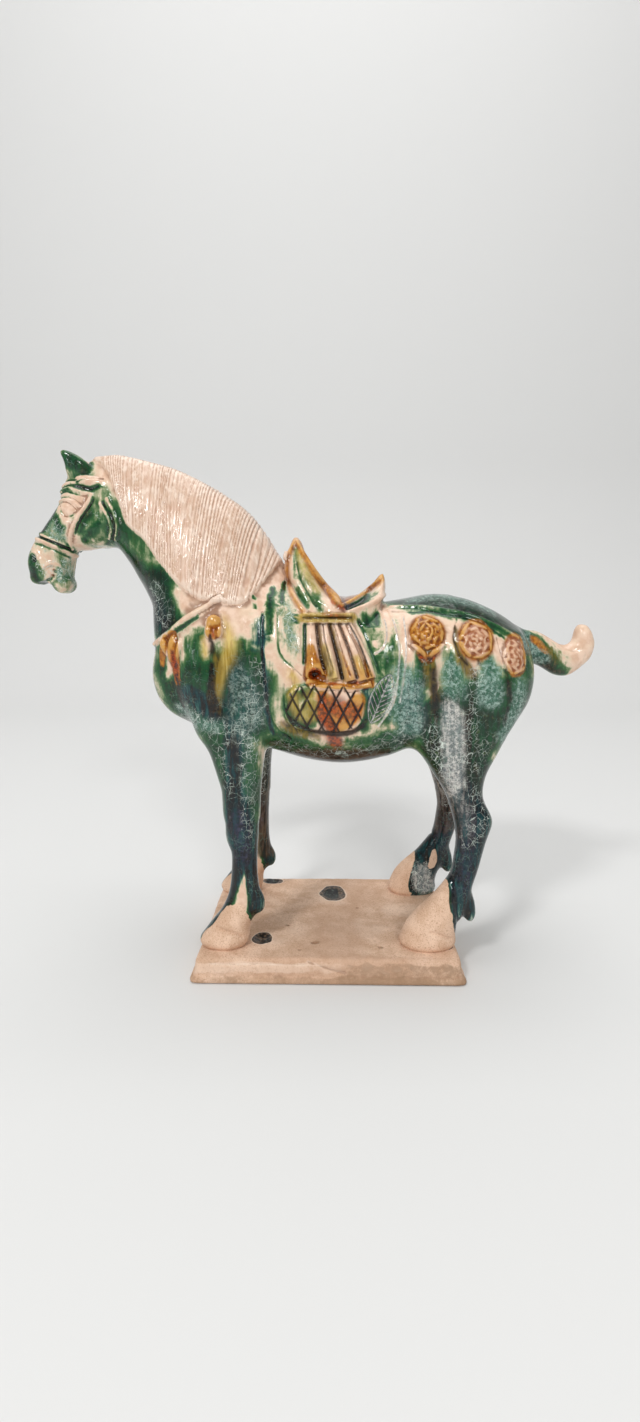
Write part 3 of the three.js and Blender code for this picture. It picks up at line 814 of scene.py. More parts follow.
class ModelRosettes(bpy.types.Operator):
    """Press the three flower rosettes on each haunch"""

    bl_idname = "sancai.model_rosettes"
    bl_label = "Model Rosettes"

    # Middle x and z, half width and half height as seen from the flank, height, petals in a ring,
    # their width, and how far each ring is turned on
    FLOWERS = [
        (40.2, 142.4, 6.4, 6.6, 2.9, 5, 0.7, 0.6),
        (59.8, 139.2, 6.9, 7.3, 3.1, 5, 0.7, 0.55),
        (76.3, 132.4, 5.5, 7, 2.7, 5, 0.7, 0.5),
    ]
    # Leaves below the first flower: x, z and tilt
    LEAVES = [(36.8, 134.8, -42), (43.6, 134.8, 42)]
    # How far the petals stray from their places, as a share of the flower
    UNEVEN = 0.07

    def execute(self, context):
        body = clay()
        tree = rosette_tree()
        for x, z, wide, tall, height, petals, width, turn in self.FLOWERS:
            seed = bpy.data.meshes.new("rosette")
            values = {"Radius": 1.0, "Height": 1.0, "Petals": petals, "Petal Width": width, "Turn": turn}
            flat, faces = grown("rosette", seed, tree, values)
            astray = np.stack([cloudy(flat * 3 + x, 1, 61), cloudy(flat * 3 + x, 1, 62)], -1)
            flat[:, :2] += self.UNEVEN * astray
            at_x, at_z = x + flat[:, 0] * wide, z + flat[:, 1] * tall
            y = body.flank(at_x, at_z) + flat[:, 2] * height
            body.add(np.stack([at_x, y, at_z], -1), faces, 0.3)
        for x, z, tilt in self.LEAVES:
            body.knob(x, z, (4.2, 1.7, 1.6), tilt, 0.4)
        return {"FINISHED"}


# Fine relief. Each line is its depth in millimetres, half its width, and then x and z of its points.
# A negative depth stands proud.
HEAD_LINES = [
    (0.6, 0.55, -128.6, 162.8, -125.6, 163.6, -122.6, 165, -121, 166.6),
    (-0.4, 0.7, -124.4, 170, -122, 171.6, -119, 171, -117.4, 168.6, -118.2, 165.4),
    (0.7, 0.5, -120.4, 168.6, -120.2, 168.2),
    (0.7, 0.45, -121.4, 166.4, -121.1, 166),
    (0.9, 0.9, -128.9, 174.6, -128.5, 173.2),
    (-0.35, 0.7, -130.6, 175.4, -129.4, 176.6, -127.4, 176, -126.6, 174),
    (0.35, 0.4, -117.6, 197.4, -115, 198, -111.4, 197, -108.4, 194),
    (0.4, 0.4, -116.8, 196.6, -115.4, 193.4, -113.4, 191.6, -110.6, 191.8, -108.4, 193.4),
    (0.35, 0.45, -118, 199.6, -114, 200, -109.6, 199, -106, 196.6),
    (-0.3, 0.6, -118, 198.6, -114, 199, -110, 198, -106.8, 195.6),
    (0.3, 0.4, -117.6, 201.6, -113, 202.2, -108, 200.8, -104, 200),
    (0.3, 0.45, -129.8, 181, -125, 179.4, -120, 177.4, -114.6, 174.6),
    (0.3, 0.4, -128.6, 184.2, -124, 182.4, -118, 180.2, -114, 178),
    (0.3, 0.4, -100.8, 198.4, -103.4, 194.6, -107.2, 189, -110.4, 183.4),
    (0.25, 0.35, -118, 206.6, -113, 207.4, -108.6, 207.2),
    (0.25, 0.35, -117.6, 204, -112, 205, -107, 204.4),
    (0.25, 0.35, -108.4, 206.2, -103, 207.6, -97, 207.4),
    (0.3, 0.5, -96.4, 197, -92.6, 191, -91.6, 186.4, -93.8, 181.6),
]
FLANK_LINES = [
    (0.45, 0.6, -27, 150, -27, 140, -26.4, 130, -25.6, 120, -24.4, 110, -21.6, 103, -16, 98),
    (0.3, 0.4, -20.8, 150, -20.6, 138, -18, 131.4, -14, 127.6, -11, 125),
    (0.3, 0.4, -14, 127, -14.6, 122, -12.8, 116, -11, 110),
    (0.4, 0.5, -18, 121, -18, 114, -15.6, 108, -10.6, 104, -4, 101.8, 5, 101.2, 12, 102.6, 15.4, 106.6),
    (0.4, 0.55, 11.4, 149, 14.6, 142, 17.6, 134, 20.4, 126.4),
]
PIPING = [
    (-0.35, 0.45, 21.6, 151, 23.6, 146, 23.8, 140, 21.8, 135.6, 18.8, 133.6),
    (-0.35, 0.45, 25.4, 151, 27.6, 144, 28.8, 136, 28.4, 127, 26.4, 114, 20.4, 104),
    (-0.35, 0.45, 31, 149, 31.6, 139, 31, 127, 29, 114),
]
CLOTH_LINES = [
    (0.3, 0.45, -10.6, 145, -10.8, 136, -10, 129.6, -9.6, 124),
    (0.5, 0.45, -4.7, 145, -3.6, 137, -2.2, 130, -0.8, 125.6),
    (0.3, 0.4, 52.6, 147.4, 50.8, 142, 51.6, 136, 55, 130.4, 58.6, 127),
    (0.3, 0.4, 68.6, 140, 69.8, 134, 71.6, 128),
    (0.3, 0.5, 27, 150.8, 40, 150.8, 52, 149.2, 62, 146.4, 72, 141.6, 79, 137.6),
]
HOLLOWS = [
    (1.1, 2, -14.8, 178, -14.4, 171, -12, 163.6, -8, 156.6, -3.4, 151.4),
    (0.5, 0.5, -13.6, 172, -12.4, 166, -9, 159, -5.4, 153.4),
    (0.9, 1.5, 8, 152.9, 14, 155.6, 20, 159.2, 22.6, 161.6),
    (1.1, 0.5, -4.6, 145, -3.9, 138, -2.6, 131.6, -1.4, 127.6),
    (0.5, 0.4, -2.2, 145, -1, 138, 0.8, 131.6, 2.4, 126.6),
    (1.2, 0.5, 0.4, 145, 2.2, 138, 4, 131, 5.6, 124.2),
    (0.5, 0.4, 2.4, 145, 4.6, 138, 6.8, 131, 8.8, 125.6),
    (1, 0.5, 4.6, 145, 7.4, 138, 9.8, 131, 11.6, 124.6),
    (0.9, 0.5, 7.6, 145, 10.8, 138.6, 13.8, 131.6, 15.8, 125),
    (-0.4, 0.5, 39.7, 146.2, 42, 143, 39.7, 139.8, 37.4, 143, 39.7, 146.2),
    (0.4, 0.4, 32.6, 137, 36, 134, 38.8, 131.4),
    (0.4, 0.4, 47.4, 137, 44.2, 134, 41.4, 131.4),
    (0.8, 0.6, -9.8, 145, -9.7, 138, -9.6, 130.6),
]
LEG_LINES = [
    (0.9, 0.5, -46.4, 18.8, -42.6, 17.8, -38.4, 16.6, -36, 14.6),
    (0.9, 0.5, 42.6, 18.2, 46, 17.4, 49.4, 15.6, 51.8, 14.6),
    (0.6, 0.7, -33.6, 42, -33.4, 34, -32.6, 27, -31, 23),
    (0.6, 0.7, 51.8, 40, 53, 31, 54.4, 23, 55, 18),
    (0.3, 0.8, -34.6, 62, -33.8, 54, -33.4, 46),
    (0.3, 0.8, 59.4, 60, 58.6, 52, 56.6, 44),
]
TAIL_LINES = [
    (0.22, 0.5, 95, 138, 100, 131, 106, 126, 113, 127),
    (0.22, 0.5, 99, 137.4, 104, 131.6, 110, 130, 117, 133),
    (0.22, 0.5, 103, 136, 107, 133.4, 112, 134.6, 117.6, 139),
    (0.2, 0.5, 91, 136, 95, 130, 99, 125),
]


def away(points, path):
    """Distance on the flank from each [x, z] to a path, and the share of the path where it is nearest."""
    best = np.full(len(points), np.inf)
    share = np.zeros(len(points))
    path = np.asarray(path, float)
    if len(path) == 1:
        return np.linalg.norm(points - path[0, :2], axis=1), share
    for n, (start, end) in enumerate(zip(path[:-1, :2], path[1:, :2])):
        along = end - start
        t = np.clip(((points - start) @ along) / max(along @ along, 1e-9), 0, 1)
        distance = np.hypot(points[:, 0] - start[0] - t * along[0], points[:, 1] - start[1] - t * along[1])
        nearer = distance < best
        best = np.where(nearer, distance, best)
        share = np.where(nearer, (n + t) / (len(path) - 1), share)
    return best, share


def near_to(points, path, margin):
    """Which of the points lie in the path's box, with a margin round it."""
    low, high = path[:, :2].min(0) - margin, path[:, :2].max(0) + margin
    return np.flatnonzero(((points >= low) & (points <= high)).all(1))


def engrave(height, flank, lines, allowed):
    """Cuts lines into the height of the relief, where allowed is not zero."""
    for depth, half, *path in lines:
        path = np.reshape(path, (-1, 2))
        near = near_to(flank, path, 2 * half)
        smooth = smooth_through(path, 4) if len(path) > 2 else path
        distance, _ = away(flank[near], smooth)
        height[near] -= depth * np.exp(-((distance / half) ** 2)) * allowed[near]


def maybe_mane(points):
    """Whether each point is in the part of the horse that the mane lies in."""
    x, _, z = points.T
    return (z > 149) & (x > -104) & (x < -18)


def mane_place(flank):
    """For each [x, z]: how far along the mane its strand starts, and how far it lies inside the hem."""
    crest, hem = np.array(NECK)[:, :2], smooth_through(MANE_HEM, 4)
    x, z = flank.T
    below = np.interp(x, crest[:, 0], crest[:, 1]) - z
    lean = np.interp(x, [-95, -65, -33], [-0.28, 0, 0.2])
    along = (x + lean * below + 98) / 74
    distance, _ = away(flank, hem)
    return along, np.sign(z - np.interp(x, hem[:, 0], hem[:, 1])) * distance


def mane_combing(points, locks, depth):
    """Height of the combed strands, and how much of the mane covers each point."""
    along, above = mane_place(points[:, [0, 2]])
    side = np.sign(points[:, 1])
    drift = cloudy(np.stack([along * 30, above * 0.08, side], -1), 1.7, 3)
    phase = along * locks + 1.5 * drift
    number = np.floor(phase + 0.5)
    ridge = np.abs(np.cos(np.pi * phase)) ** 0.7
    thin = np.abs(np.cos(np.pi * (phase * 2.3 + 0.4 * number)))
    uneven = 0.65 + 0.35 * np.sin(number * 12.9898)
    broad = cloudy(np.stack([along * 16, above * 0.04, side], -1), 1.3, 5)
    height = depth * (uneven * (ridge - 0.8) + 0.25 * (thin - 0.6) + 0.6 * broad)
    return height, ramp(above, -0.2, 2)


def quilting(flank):
    """Dark crossing lines on the quilted panel: 1 on a line."""
    x, z = flank[:, 0], flank[:, 1]
    SPACING, LEAN = 5.85, 0.52
    inside = ramp(1.05 - (np.abs(x + 1.6) / 16.4) ** 3 - (np.abs(z - 111.6) / 10) ** 3, 0, 0.3)
    lines = np.zeros(len(flank))
    for lean in (LEAN, -LEAN):
        across = (x + 11.4 + lean * (z - 110)) / SPACING
        gap = np.abs(across - np.round(across)) * SPACING / math.hypot(1, lean)
        lines = np.maximum(lines, np.exp(-((gap / 0.5) ** 2)))
    return lines * inside, inside


def leaf_veins(flank):
    """Outline and herringbone veins of the leaf behind the panel: 1 on a vein."""
    root, tip, half = np.array([17.4, 105.4]), np.array([25.4, 125.4]), 4.3
    axis = (tip - root) / np.linalg.norm(tip - root)
    along = (flank - root) @ axis / np.linalg.norm(tip - root)
    across = (flank - root) @ np.array([axis[1], -axis[0]])
    wide = half * np.sin(np.pi * np.clip(along, 0, 1)) ** 0.7
    rim = np.exp(-(((np.abs(across) - wide) / 0.33) ** 2))
    inside = (np.abs(across) < wide) & (along > 0) & (along < 1)
    slant = (along * 21.5 - 1.1 * np.abs(across)) / 2.3
    veins = np.exp(-((np.abs(slant - np.round(slant)) * 2.3 / 0.3) ** 2))
    spine = np.exp(-((across / 0.35) ** 2))
    filled = np.where(inside, np.maximum(veins * 0.9, spine), 0)
    return np.where((along > 0) & (along < 1), np.maximum(filled, rim), 0)


def outermost(points):
    """1 on the saddle cloth, the panel and the leaf, which lie farthest out, and 0 further in."""
    return ramp(np.abs(points[:, 1]), 20, 24)


def fine_relief(points, normals, sizes):
    """Height in millimetres of everything too fine for the field, at points on its surface."""
    MANE_THICKNESS, PANEL_THICKNESS = 1.5, 1.3
    flank = points[:, [0, 2]]
    side = np.abs(points[:, 1])
    height = 0.10 * cloudy(points, 9, 11) + 0.045 * cloudy(points, 2.6, 12)
    everywhere = np.ones(len(points))
    engrave(height, flank, HEAD_LINES, 1.5 * everywhere)
    engrave(height, flank, FLANK_LINES + PIPING + CLOTH_LINES, ramp(side, 12, 17))
    engrave(height, flank, LEG_LINES, ramp(side, 24, 27))
    engrave(height, flank, TAIL_LINES, everywhere)
    engrave(height, flank, HOLLOWS, ramp(side, 3, 6))
    mane = maybe_mane(points)
    combed, covered = mane_combing(points[mane], sizes.mane_locks, sizes.mane_depth)
    thick = MANE_THICKNESS * np.clip(1.6 * np.abs(normals[mane, 1]), 0.3, 1)
    height[mane] += covered * (thick + combed)
    lines, inside = quilting(flank)
    return height + outermost(points) * (PANEL_THICKNESS * inside - 0.6 * lines - 0.35 * leaf_veins(flank))


# Glaze marks. Each is the pigment, how soft its edge is, how strong it is, and then x, z and half width
# of the points of its path. Green is a thickness: 0.4 is a pale wash, 0.6 is green and 1 is nearly black.
# Cream takes colour off again, and a strip takes clay off and lays blue-green.
MOULD_MARKS = [
    ("amber", 1, 1, -46.6, 146.8, 2.8, -46.6, 142.6, 3.3),
    ("rust", 0.8, 0.8, -46.8, 144.6, 0.6, -46.6, 140.6, 0.9),
    ("amber", 1.2, 1, -67.2, 139.4, 2, -69.2, 134, 2, -69.8, 129, 1.2),
    ("amber", 1, 1, -64.4, 141, 2.2, -63.8, 134, 2.8, -63, 126, 1.8, -62.6, 121, 1),
    ("amber", 1.6, 1, 40.2, 142.2, 7.4),
    ("amber", 1.8, 0.8, 37, 134.6, 2, 40.2, 132, 2, 43.6, 134.6, 2),
    ("amber", 1.4, 1, 59.8, 140.2, 7.4, 59.8, 138.2, 7.4),
    ("rose", 1.6, 1, 59.8, 140, 5.2, 59.8, 138, 5.2),
    ("amber", 1.4, 0.9, 76.6, 137.4, 4.6, 76.4, 128.6, 4.4),
    ("rose", 1.4, 1, 75.8, 137, 3.6, 76, 130, 3.8),
    ("amber", 1.6, 0.66, -15, 181.6, 2, -17.8, 172, 1.6, -17.6, 165, 1.5, -15.2, 158, 1.5,
     -10.8, 151, 1.6),
    ("gold", 1.6, 0.6, -12.6, 177, 2, -9, 169, 3, -4, 162, 3.6),
    ("amber", 1.6, 0.74, -13.6, 181, 2, -10.2, 175, 1.8, -6.4, 168, 1.8, -2, 162, 2.2, 2.2, 157.8, 2.8,
     5, 153, 2),
    ("amber", 1.4, 0.74, 8, 155, 1.4, 14, 158.8, 1.8, 20, 163, 2.4, 23.4, 166, 2.4),
    ("gold", 0.8, 1, -10.6, 148.2, 2, 9.8, 148.2, 2),
    ("olive", 1.6, 0.62, -10.6, 148, 1, -2, 148.4, 1.6, 9.8, 148, 1.6),
    ("rust", 1.4, 0.6, -2, 149.6, 1, 6, 148.6, 1.6),
    ("amber", 1.6, 1, -7, 136, 1.8, -6.4, 131, 3, -5.4, 125.6, 5),
    ("rust", 1, 1, -5.2, 125.8, 2.7),
    ("dark", 0.8, 0.8, -5.4, 125.4, 1.4),
    ("gold", 1.6, 0.8, -1.6, 136, 1.6, 0.4, 129, 2.2, 2, 124, 2.2),
    ("amber", 2, 0.66, 5.4, 134, 0.9, 7.4, 129, 1.6, 9, 123.6, 2.6),
    ("amber", 2, 0.7, 11, 131, 0.8, 12.4, 128, 1.4, 14, 123.4, 2.8),
    ("gold", 1.6, 0.9, 11.4, 132, 1.4, 13.4, 127, 2),
    ("amber", 1.6, 0.85, 14.6, 131, 0.8, 17, 124, 2),
    ("olive", 1.4, 0.7, -3.6, 145, 1, -2.6, 138, 1, -1, 131.6, 1.6, 0.4, 126, 2),
    ("olive", 1.4, 0.7, 1.2, 145, 1, 3.2, 138, 1.2, 5.4, 131, 1.6, 7.4, 124, 2),
    ("dark", 0.6, 1, -4.8, 145, 0.4, -4.1, 138, 0.4, -2.8, 131.6, 0.5, -1.4, 127.6, 0.5),
    ("dark", 0.6, 0.8, -2.2, 145, 0.2, -1, 138, 0.3, 0.8, 131.6, 0.3, 2.4, 127, 0.2),
    ("dark", 0.6, 1, 0.4, 145, 0.4, 2.2, 138, 0.5, 4, 131, 0.6, 5.6, 124, 0.8),
    ("dark", 0.6, 0.9, 4.6, 145, 0.4, 7.4, 138, 0.4, 9.8, 131, 0.4, 11.6, 124, 0.6),
    ("dark", 0.6, 0.9, 8.4, 146, 0.4, 12, 139, 0.5, 15, 131.6, 0.5, 17.4, 125, 0.4),
    ("green", 1.2, 0.8, -9.8, 145, 0.5, -9.8, 138, 0.6, -10, 130, 0.6),
    ("dark", 0.8, 0.9, -10.4, 148.1, 0.4, 9.6, 148.2, 0.4),
    ("dark", 0.8, 0.8, -10, 145.5, 0.5, 8.8, 145.6, 0.5),
    ("amber", 1, 1, -8, 122, 1, 0, 121.2, 1.2, 9, 120.8, 1.2, 17.4, 121.4, 1.4),
    ("rust", 1, 0.8, 1, 121.8, 0.9, 3, 122.2, 0.9),
    ("rust", 1, 0.8, 10, 122.2, 0.9, 12, 122.4, 0.8),
    ("green", 2, 0.95, -8, 118, 3, -15, 116, 3, -14, 109, 4, -9, 105, 4, -7, 112, 4),
    ("gold", 2.4, 0.64, -14, 116.6, 2.4, -12, 110, 2.4, -7, 109, 3, -6.6, 117, 3),
    ("amber", 2, 1, -2.4, 117, 2.4, 1, 111, 5, 3, 105, 3.4, 9, 110, 5, 12, 115, 3),
    ("rust", 2.4, 1, -2, 116, 2, -1.6, 108, 2.8, 2, 103.6, 2.4),
    ("rust", 2.4, 0.72, 2, 113, 5, 10, 110, 4),
    ("dark", 1.2, 1, -15.6, 108, 0.6, -12, 104.6, 0.8, -6, 102.2, 1, 2, 101.2, 1.4, 9, 101.4, 1.3,
     14, 104.4, 0.9),
]
NEAR_MARKS = [
    # head
    ("green", 3, 0.45, -110, 212, 7, -108, 204, 9, -112, 196, 12, -119, 184, 11, -122, 172, 10,
     -120, 163, 6),
    ("green", 2, 0.55, -101, 196, 4, -102, 187, 8),
    ("cream", 1.6, 1, -116, 196, 1.6, -111, 196, 4.6, -106.6, 198, 3.4, -104.6, 201.4, 1.6),
    ("cream", 1.8, 1, -113.6, 192, 1, -112, 187, 2.6, -111.6, 181, 2.6, -113.6, 176, 1.6),
    ("cream", 1, 0.9, -103.6, 198, 1, -108, 190.6, 1.1, -112, 184, 1),
    ("cream", 1.2, 0.9, -130.8, 183, 1, -126, 181.6, 1.1, -120, 179.2, 1, -114, 176.6, 0.8),
    ("cream", 2, 0.75, -130, 177.4, 1.4, -125, 175, 2.4, -122, 171.4, 3, -122.6, 167.6, 2.6),
    ("cream", 2, 0.8, -106, 209, 1.4, -100, 206, 2.4, -98, 205, 2),
    ("green", 1.2, 0.95, -114.8, 219, 2.4, -111.4, 215.4, 3.6, -105.6, 213, 3.2),
    ("green", 0.8, 1, -118, 202.6, 0.9, -112.6, 204, 1),
    ("green", 1.2, 0.95, -109, 204.8, 1.4, -103, 203.4, 1.2, -99, 204.4, 1),
    ("green", 1.4, 1, -119, 198, 0.9, -121.4, 193, 2.8, -124.6, 188.6, 3.2, -128.6, 184.6, 1.6),
    ("green", 1.6, 0.95, -118, 190.6, 2, -116.4, 186.6, 2.4),
    ("teal", 1.6, 0.7, -120.4, 195, 1, -125, 188.4, 1.2),
    ("crackle", 3, 0.9, -122, 188, 3.6, -117, 184.6, 3.6),
    ("crystal", 2.4, 0.6, -120, 186.4, 2.6, -115.6, 183, 2.4),
    ("green", 1.2, 1, -128.4, 184.2, 0.6, -122, 182, 0.8, -117, 180.4, 0.8),
    ("green", 1.6, 0.9, -107.6, 185, 1.4, -105, 190, 2, -102.4, 193, 1.4),
    ("green", 1.6, 0.95, -106, 182.8, 1.4, -102, 185, 2.8, -98.8, 189, 1.8),
    ("green", 1.2, 0.9, -96.2, 198, 0.6, -93.4, 191, 0.7, -93.6, 185.6, 0.8, -97, 181, 1),
    ("green", 1.6, 1, -116.8, 179, 1.6, -114.4, 178.4, 1.6),
    ("green", 1.6, 1, -131, 176, 1.4, -130, 169.6, 3.2, -129.4, 165, 3.2),
    ("green", 1.6, 0.66, -123, 160.6, 2, -118, 160, 3.4, -113.6, 167, 2),
    ("green", 2, 0.7, -128, 171, 2.4, -126.6, 165, 3.4),
    ("crackle", 2.4, 1, -129, 176, 2.6, -124, 172, 4, -119, 165, 4, -115, 172, 2.6),
    ("crystal", 2.4, 0.7, -114.6, 173, 2, -118, 166, 2.6),
    ("rust", 0.8, 0.9, -120.4, 168.8, 0.5),
    ("rust", 0.8, 0.9, -121.4, 166.4, 0.5),
    ("dark", 0.9, 0.85, -129, 174.8, 0.5, -128.4, 173, 0.7),
    # neck
    ("green", 2, 0.5, -96, 203, 2.4, -92.4, 196, 3, -89, 188, 3.4, -85, 181, 4),
    ("green", 3, 0.72, -92, 190, 5, -88, 180, 8, -82, 172, 9),
    ("green", 3, 0.95, -87, 174, 4, -80, 166, 8, -75, 160, 11, -71, 151, 11),
    ("green", 2.6, 1, -88, 175, 3, -81, 164, 4, -75, 152, 5),
    ("teal", 3, 0.8, -78, 158, 3, -72, 150, 5, -69, 145, 4),
    ("cream", 3, 0.38, -83, 179, 2, -76, 170, 2.6),
    ("cream", 3, 0.9, -62, 158, 2, -58, 152, 3),
    ("crackle", 3, 1, -73, 160, 3, -70, 149, 5),
    ("crystal", 3, 0.3, -73, 160, 4, -68, 151, 4.6),
    # breast and shoulder
    ("green", 4, 0.85, -67, 126, 9, -60, 120, 16, -50, 114, 19, -38, 119, 17, -34, 108, 13),
    ("green", 3, 0.7, -60, 136, 4, -56, 137, 4),
    ("green", 1, 0.95, -54, 148.6, 0.5, -62, 143.4, 0.7, -69, 138, 0.8, -77, 133.4, 0.7),
    ("cream", 1.6, 1, -66, 138, 3, -65, 130, 2.4, -67, 124, 1.6),
    ("cream", 1, 0.9, -60.4, 141, 0.8, -60, 134, 0.9, -60.6, 128, 0.8),
    ("rust", 1.2, 1, -63.8, 135, 0.8, -63.2, 130, 1.5, -62.8, 122, 1),
    ("dark", 1, 1, -62.8, 125, 0.6, -62.2, 116, 0.8, -61, 109, 0.6),
    ("green", 2, 0.4, -69.4, 122, 1.6, -66, 114, 2.4, -61, 106, 3),
    ("green", 3, 0.75, -79, 131, 1, -77, 122, 2.4, -74, 111, 3),
    ("green", 1.8, 0.72, -53, 142, 2.2, -54.6, 134, 3.4, -56, 126, 4),
    ("teal", 2.4, 1, -58, 117, 4, -52, 113, 5, -47, 109, 4),
    ("gold", 1.8, 1, -50.6, 140, 0.8, -50.4, 134, 1),
    ("gold", 3, 0.95, -42.4, 148, 0.4, -40.6, 143, 1.6, -39.8, 137, 2.6, -42.2, 129, 2.6,
     -44.6, 121, 1.6, -45.4, 116, 1),
    ("olive", 2.2, 1, -45.4, 134, 1, -44.4, 127, 2, -46, 118, 2, -46, 111, 1.4),
    ("dark", 1.2, 1, -47.4, 141, 0.7, -47.4, 136, 1.2, -47.4, 129, 1, -47.4, 120, 1.8, -46.6, 112, 2.6),
    ("cream", 2.4, 0.9, -36.6, 147, 2.6, -36, 141.6, 1.2),
    ("green", 2.2, 0.75, -36, 139, 1.6, -34, 135.6, 3.4, -30.4, 133, 3.6),
    ("teal", 2.4, 1, -29, 147, 1, -29, 141, 2, -30, 136, 1.6),
    ("green", 0.8, 0.9, -31.6, 158, 0.4, -30.6, 152, 0.6, -29.4, 147, 0.7),
    ("teal", 4, 0.75, -38, 126, 4, -35, 116, 8, -36, 106, 8),
    ("crystal", 4, 0.56, -36, 125, 5, -34, 116, 7, -33, 107, 7, -34, 102, 5),
    ("crackle", 3, 0.9, -30, 128, 3, -30, 112, 4.6, -34, 103, 5),
    ("crystal", 3, 0.8, -62, 109, 3, -55, 104.6, 3.6, -46, 103.6, 3),
    ("crackle", 3, 1, -61, 108, 3.6, -50, 103, 4.6, -43, 102, 4),
    ("teal", 1, 1, -26.9, 149, 0.7, -26.8, 138, 1, -26.2, 124, 1, -25, 110, 1, -23, 101, 1),
    # near fore leg
    ("green", 3, 0.78, -43, 100, 12, -39, 80, 12, -37, 66, 10),
    ("green", 3, 0.95, -37, 68, 8, -36, 44, 9, -38, 30, 12, -44, 14, 16),
    ("teal", 3, 1, -38.6, 98, 4, -38.6, 80, 4.4, -37, 64, 6, -36, 50, 7, -36, 42, 7),
    ("green", 2, 0.7, -48.6, 98, 2.4, -46.6, 86, 2.2, -44.4, 74, 1.8, -43.6, 64, 1.6),
    ("crystal", 2.4, 0.4, -32.4, 99, 3.4, -32.6, 86, 3, -32.8, 74, 2.4),
    ("crackle", 2.4, 1, -45.6, 99, 3.6, -43.6, 86, 2.4, -40, 76, 2),
    ("crackle", 2.4, 1, -33, 99, 4, -32.6, 86, 3, -33, 74, 2.4, -33, 58, 2),
    ("violet", 5, 0.55, -37, 66, 4, -35, 48, 4),
    ("cream", 0.8, 1, -35.4, 41.6, 0.3, -35.8, 35, 1.6, -36.2, 29, 2.4, -36.6, 27, 3),
    ("clay", 0.9, 1, -36.4, 27.6, 2.2, -37.4, 24.8, 5, -40, 20, 9, -43, 11, 12),
    ("green", 1.2, 0.8, -39.8, 42, 1.2, -40.4, 34, 1.2, -41.2, 28, 1),
    ("strip", 0.8, 1, -41.4, 42, 1.8, -41.8, 33, 2.6, -44.6, 27.4, 2.4, -48.8, 22.6, 1.9,
     -53, 17.4, 1.5, -55.4, 12.4, 1.2),
    ("strip", 0.8, 1, -30.8, 42, 2.4, -30, 34, 3, -29, 26.4, 3.4),
    # saddle and its cloth
    ("green", 3, 0.46, -20, 158, 2, -17, 148, 4, -15, 139, 4, -13, 132, 2),
    ("crystal", 3, 0.5, -16, 152, 2, -16, 145, 3, -14, 137, 2.4),
    ("crackle", 2.4, 0.9, -18, 152, 3, -16, 143, 3, -13, 134, 2),
    ("green", 1, 0.85, -23.7, 159.6, 1.4, -24, 150, 1.6, -24.2, 139, 1.4),
    ("green", 0.8, 0.85, -19.6, 163, 0.7, -19.2, 154, 0.8),
    ("green", 1, 0.6, -20.8, 150, 0.4, -20.6, 138, 0.5, -18, 131.4, 0.5, -14, 127.6, 0.5),
    ("green", 1, 0.75, -14.4, 151, 1, -12.8, 145, 0.8),
    ("olive", 1.2, 0.7, -12, 148, 0.5, -11.8, 136, 0.6, -12, 130, 0.5),
    ("gold", 2, 0.9, -16, 125.6, 1.6, -13, 122, 1.6, -16, 117, 1),
    ("green", 2.4, 0.52, -14, 176, 2, -12, 168, 3.4, -8, 160, 4, -4, 154, 3),
    ("green", 1.4, 0.72, -15.4, 174, 0.6, -14.6, 166, 1.1, -11.8, 158.4, 1.1, -8, 152.8, 1),
    ("green", 1, 0.7, -13, 171, 0.3, -10, 162, 0.5, -6.4, 156, 0.5, -3.6, 151.8, 0.4),
    ("green", 2, 0.4, 10, 152.4, 1.4, 16, 155.4, 2, 21, 159.4, 1.4),
    ("green", 1.2, 0.85, 8, 152, 0.8, 13, 154.6, 1.1, 17, 157, 0.8),
    ("violet", 2, 1, 4.6, 158.6, 2, 8, 156.8, 2.6, 6.4, 153, 2),
    ("umber", 2, 0.7, 4, 157, 1.4, 7, 154, 1.6),
    ("rust", 1.6, 0.7, 2, 155, 1, 6, 152, 1.6),
    ("green", 4, 0.5, 17, 147, 4, 20, 138, 4, 23, 126, 6, 22, 112, 7, 26, 104, 6),
    ("cream", 2, 0.9, 17.6, 139, 1.2, 19.4, 136.6, 1.8),
    ("green", 1.8, 0.9, 15, 148.6, 1.6, 16.4, 144, 2),
    ("green", 1.4, 0.9, 19.8, 149, 1, 20.6, 145.6, 1),
    ("green", 1.8, 0.75, 27.4, 141, 0.8, 25.6, 134, 1.8, 23, 128, 2.4),
    ("green", 2.4, 0.7, 28.6, 122, 1.6, 27.8, 114, 2.2, 24, 106, 2.2),
    ("green", 1.8, 0.95, 15.8, 117, 1.6, 16.4, 110, 1.8, 14.6, 104, 2.4),
    ("teal", 1.6, 0.9, 15.4, 119.6, 1.4, 17.4, 113.6, 1),
    ("green", 1.2, 1, 12.4, 147, 0.5, 16.4, 137, 0.7, 20, 127.6, 0.9),
    # belly
    ("green", 4, 0.92, -22, 96, 5, -8, 91, 6, 8, 89, 6, 22, 94, 7, 34, 100, 6),
    ("rust", 2, 1, 1, 99.8, 2.4, 3.6, 97, 3, 4.6, 94, 1.6),
    ("olive", 2.4, 0.9, -18, 105, 1.8, -13, 101, 2.2, -5, 99, 1.8),
    ("green", 1.6, 0.85, 17.6, 106, 1, 21.2, 115, 4.4, 25.2, 125, 1),
    ("green", 2.4, 0.85, -22, 101, 2.4, -14, 97.6, 2.8, -8, 95.4, 2),
    ("green", 2.4, 0.85, 9, 97, 2, 18, 98.4, 2.6, 26, 101, 2.4),
    ("crystal", 4, 0.4, 16, 93, 3, 30, 99, 5),
    ("crackle", 4, 0.6, -20, 94, 4, 0, 91, 3, 14, 94, 4, 30, 99, 6),
    # The dark and umber bands along the underside are partly the glaze's own colour and partly painted
    # shade under the belly
    ("dark", 2.6, 1, -20, 86.4, 5, 2, 84, 7.6, 24, 87.6, 5.4),
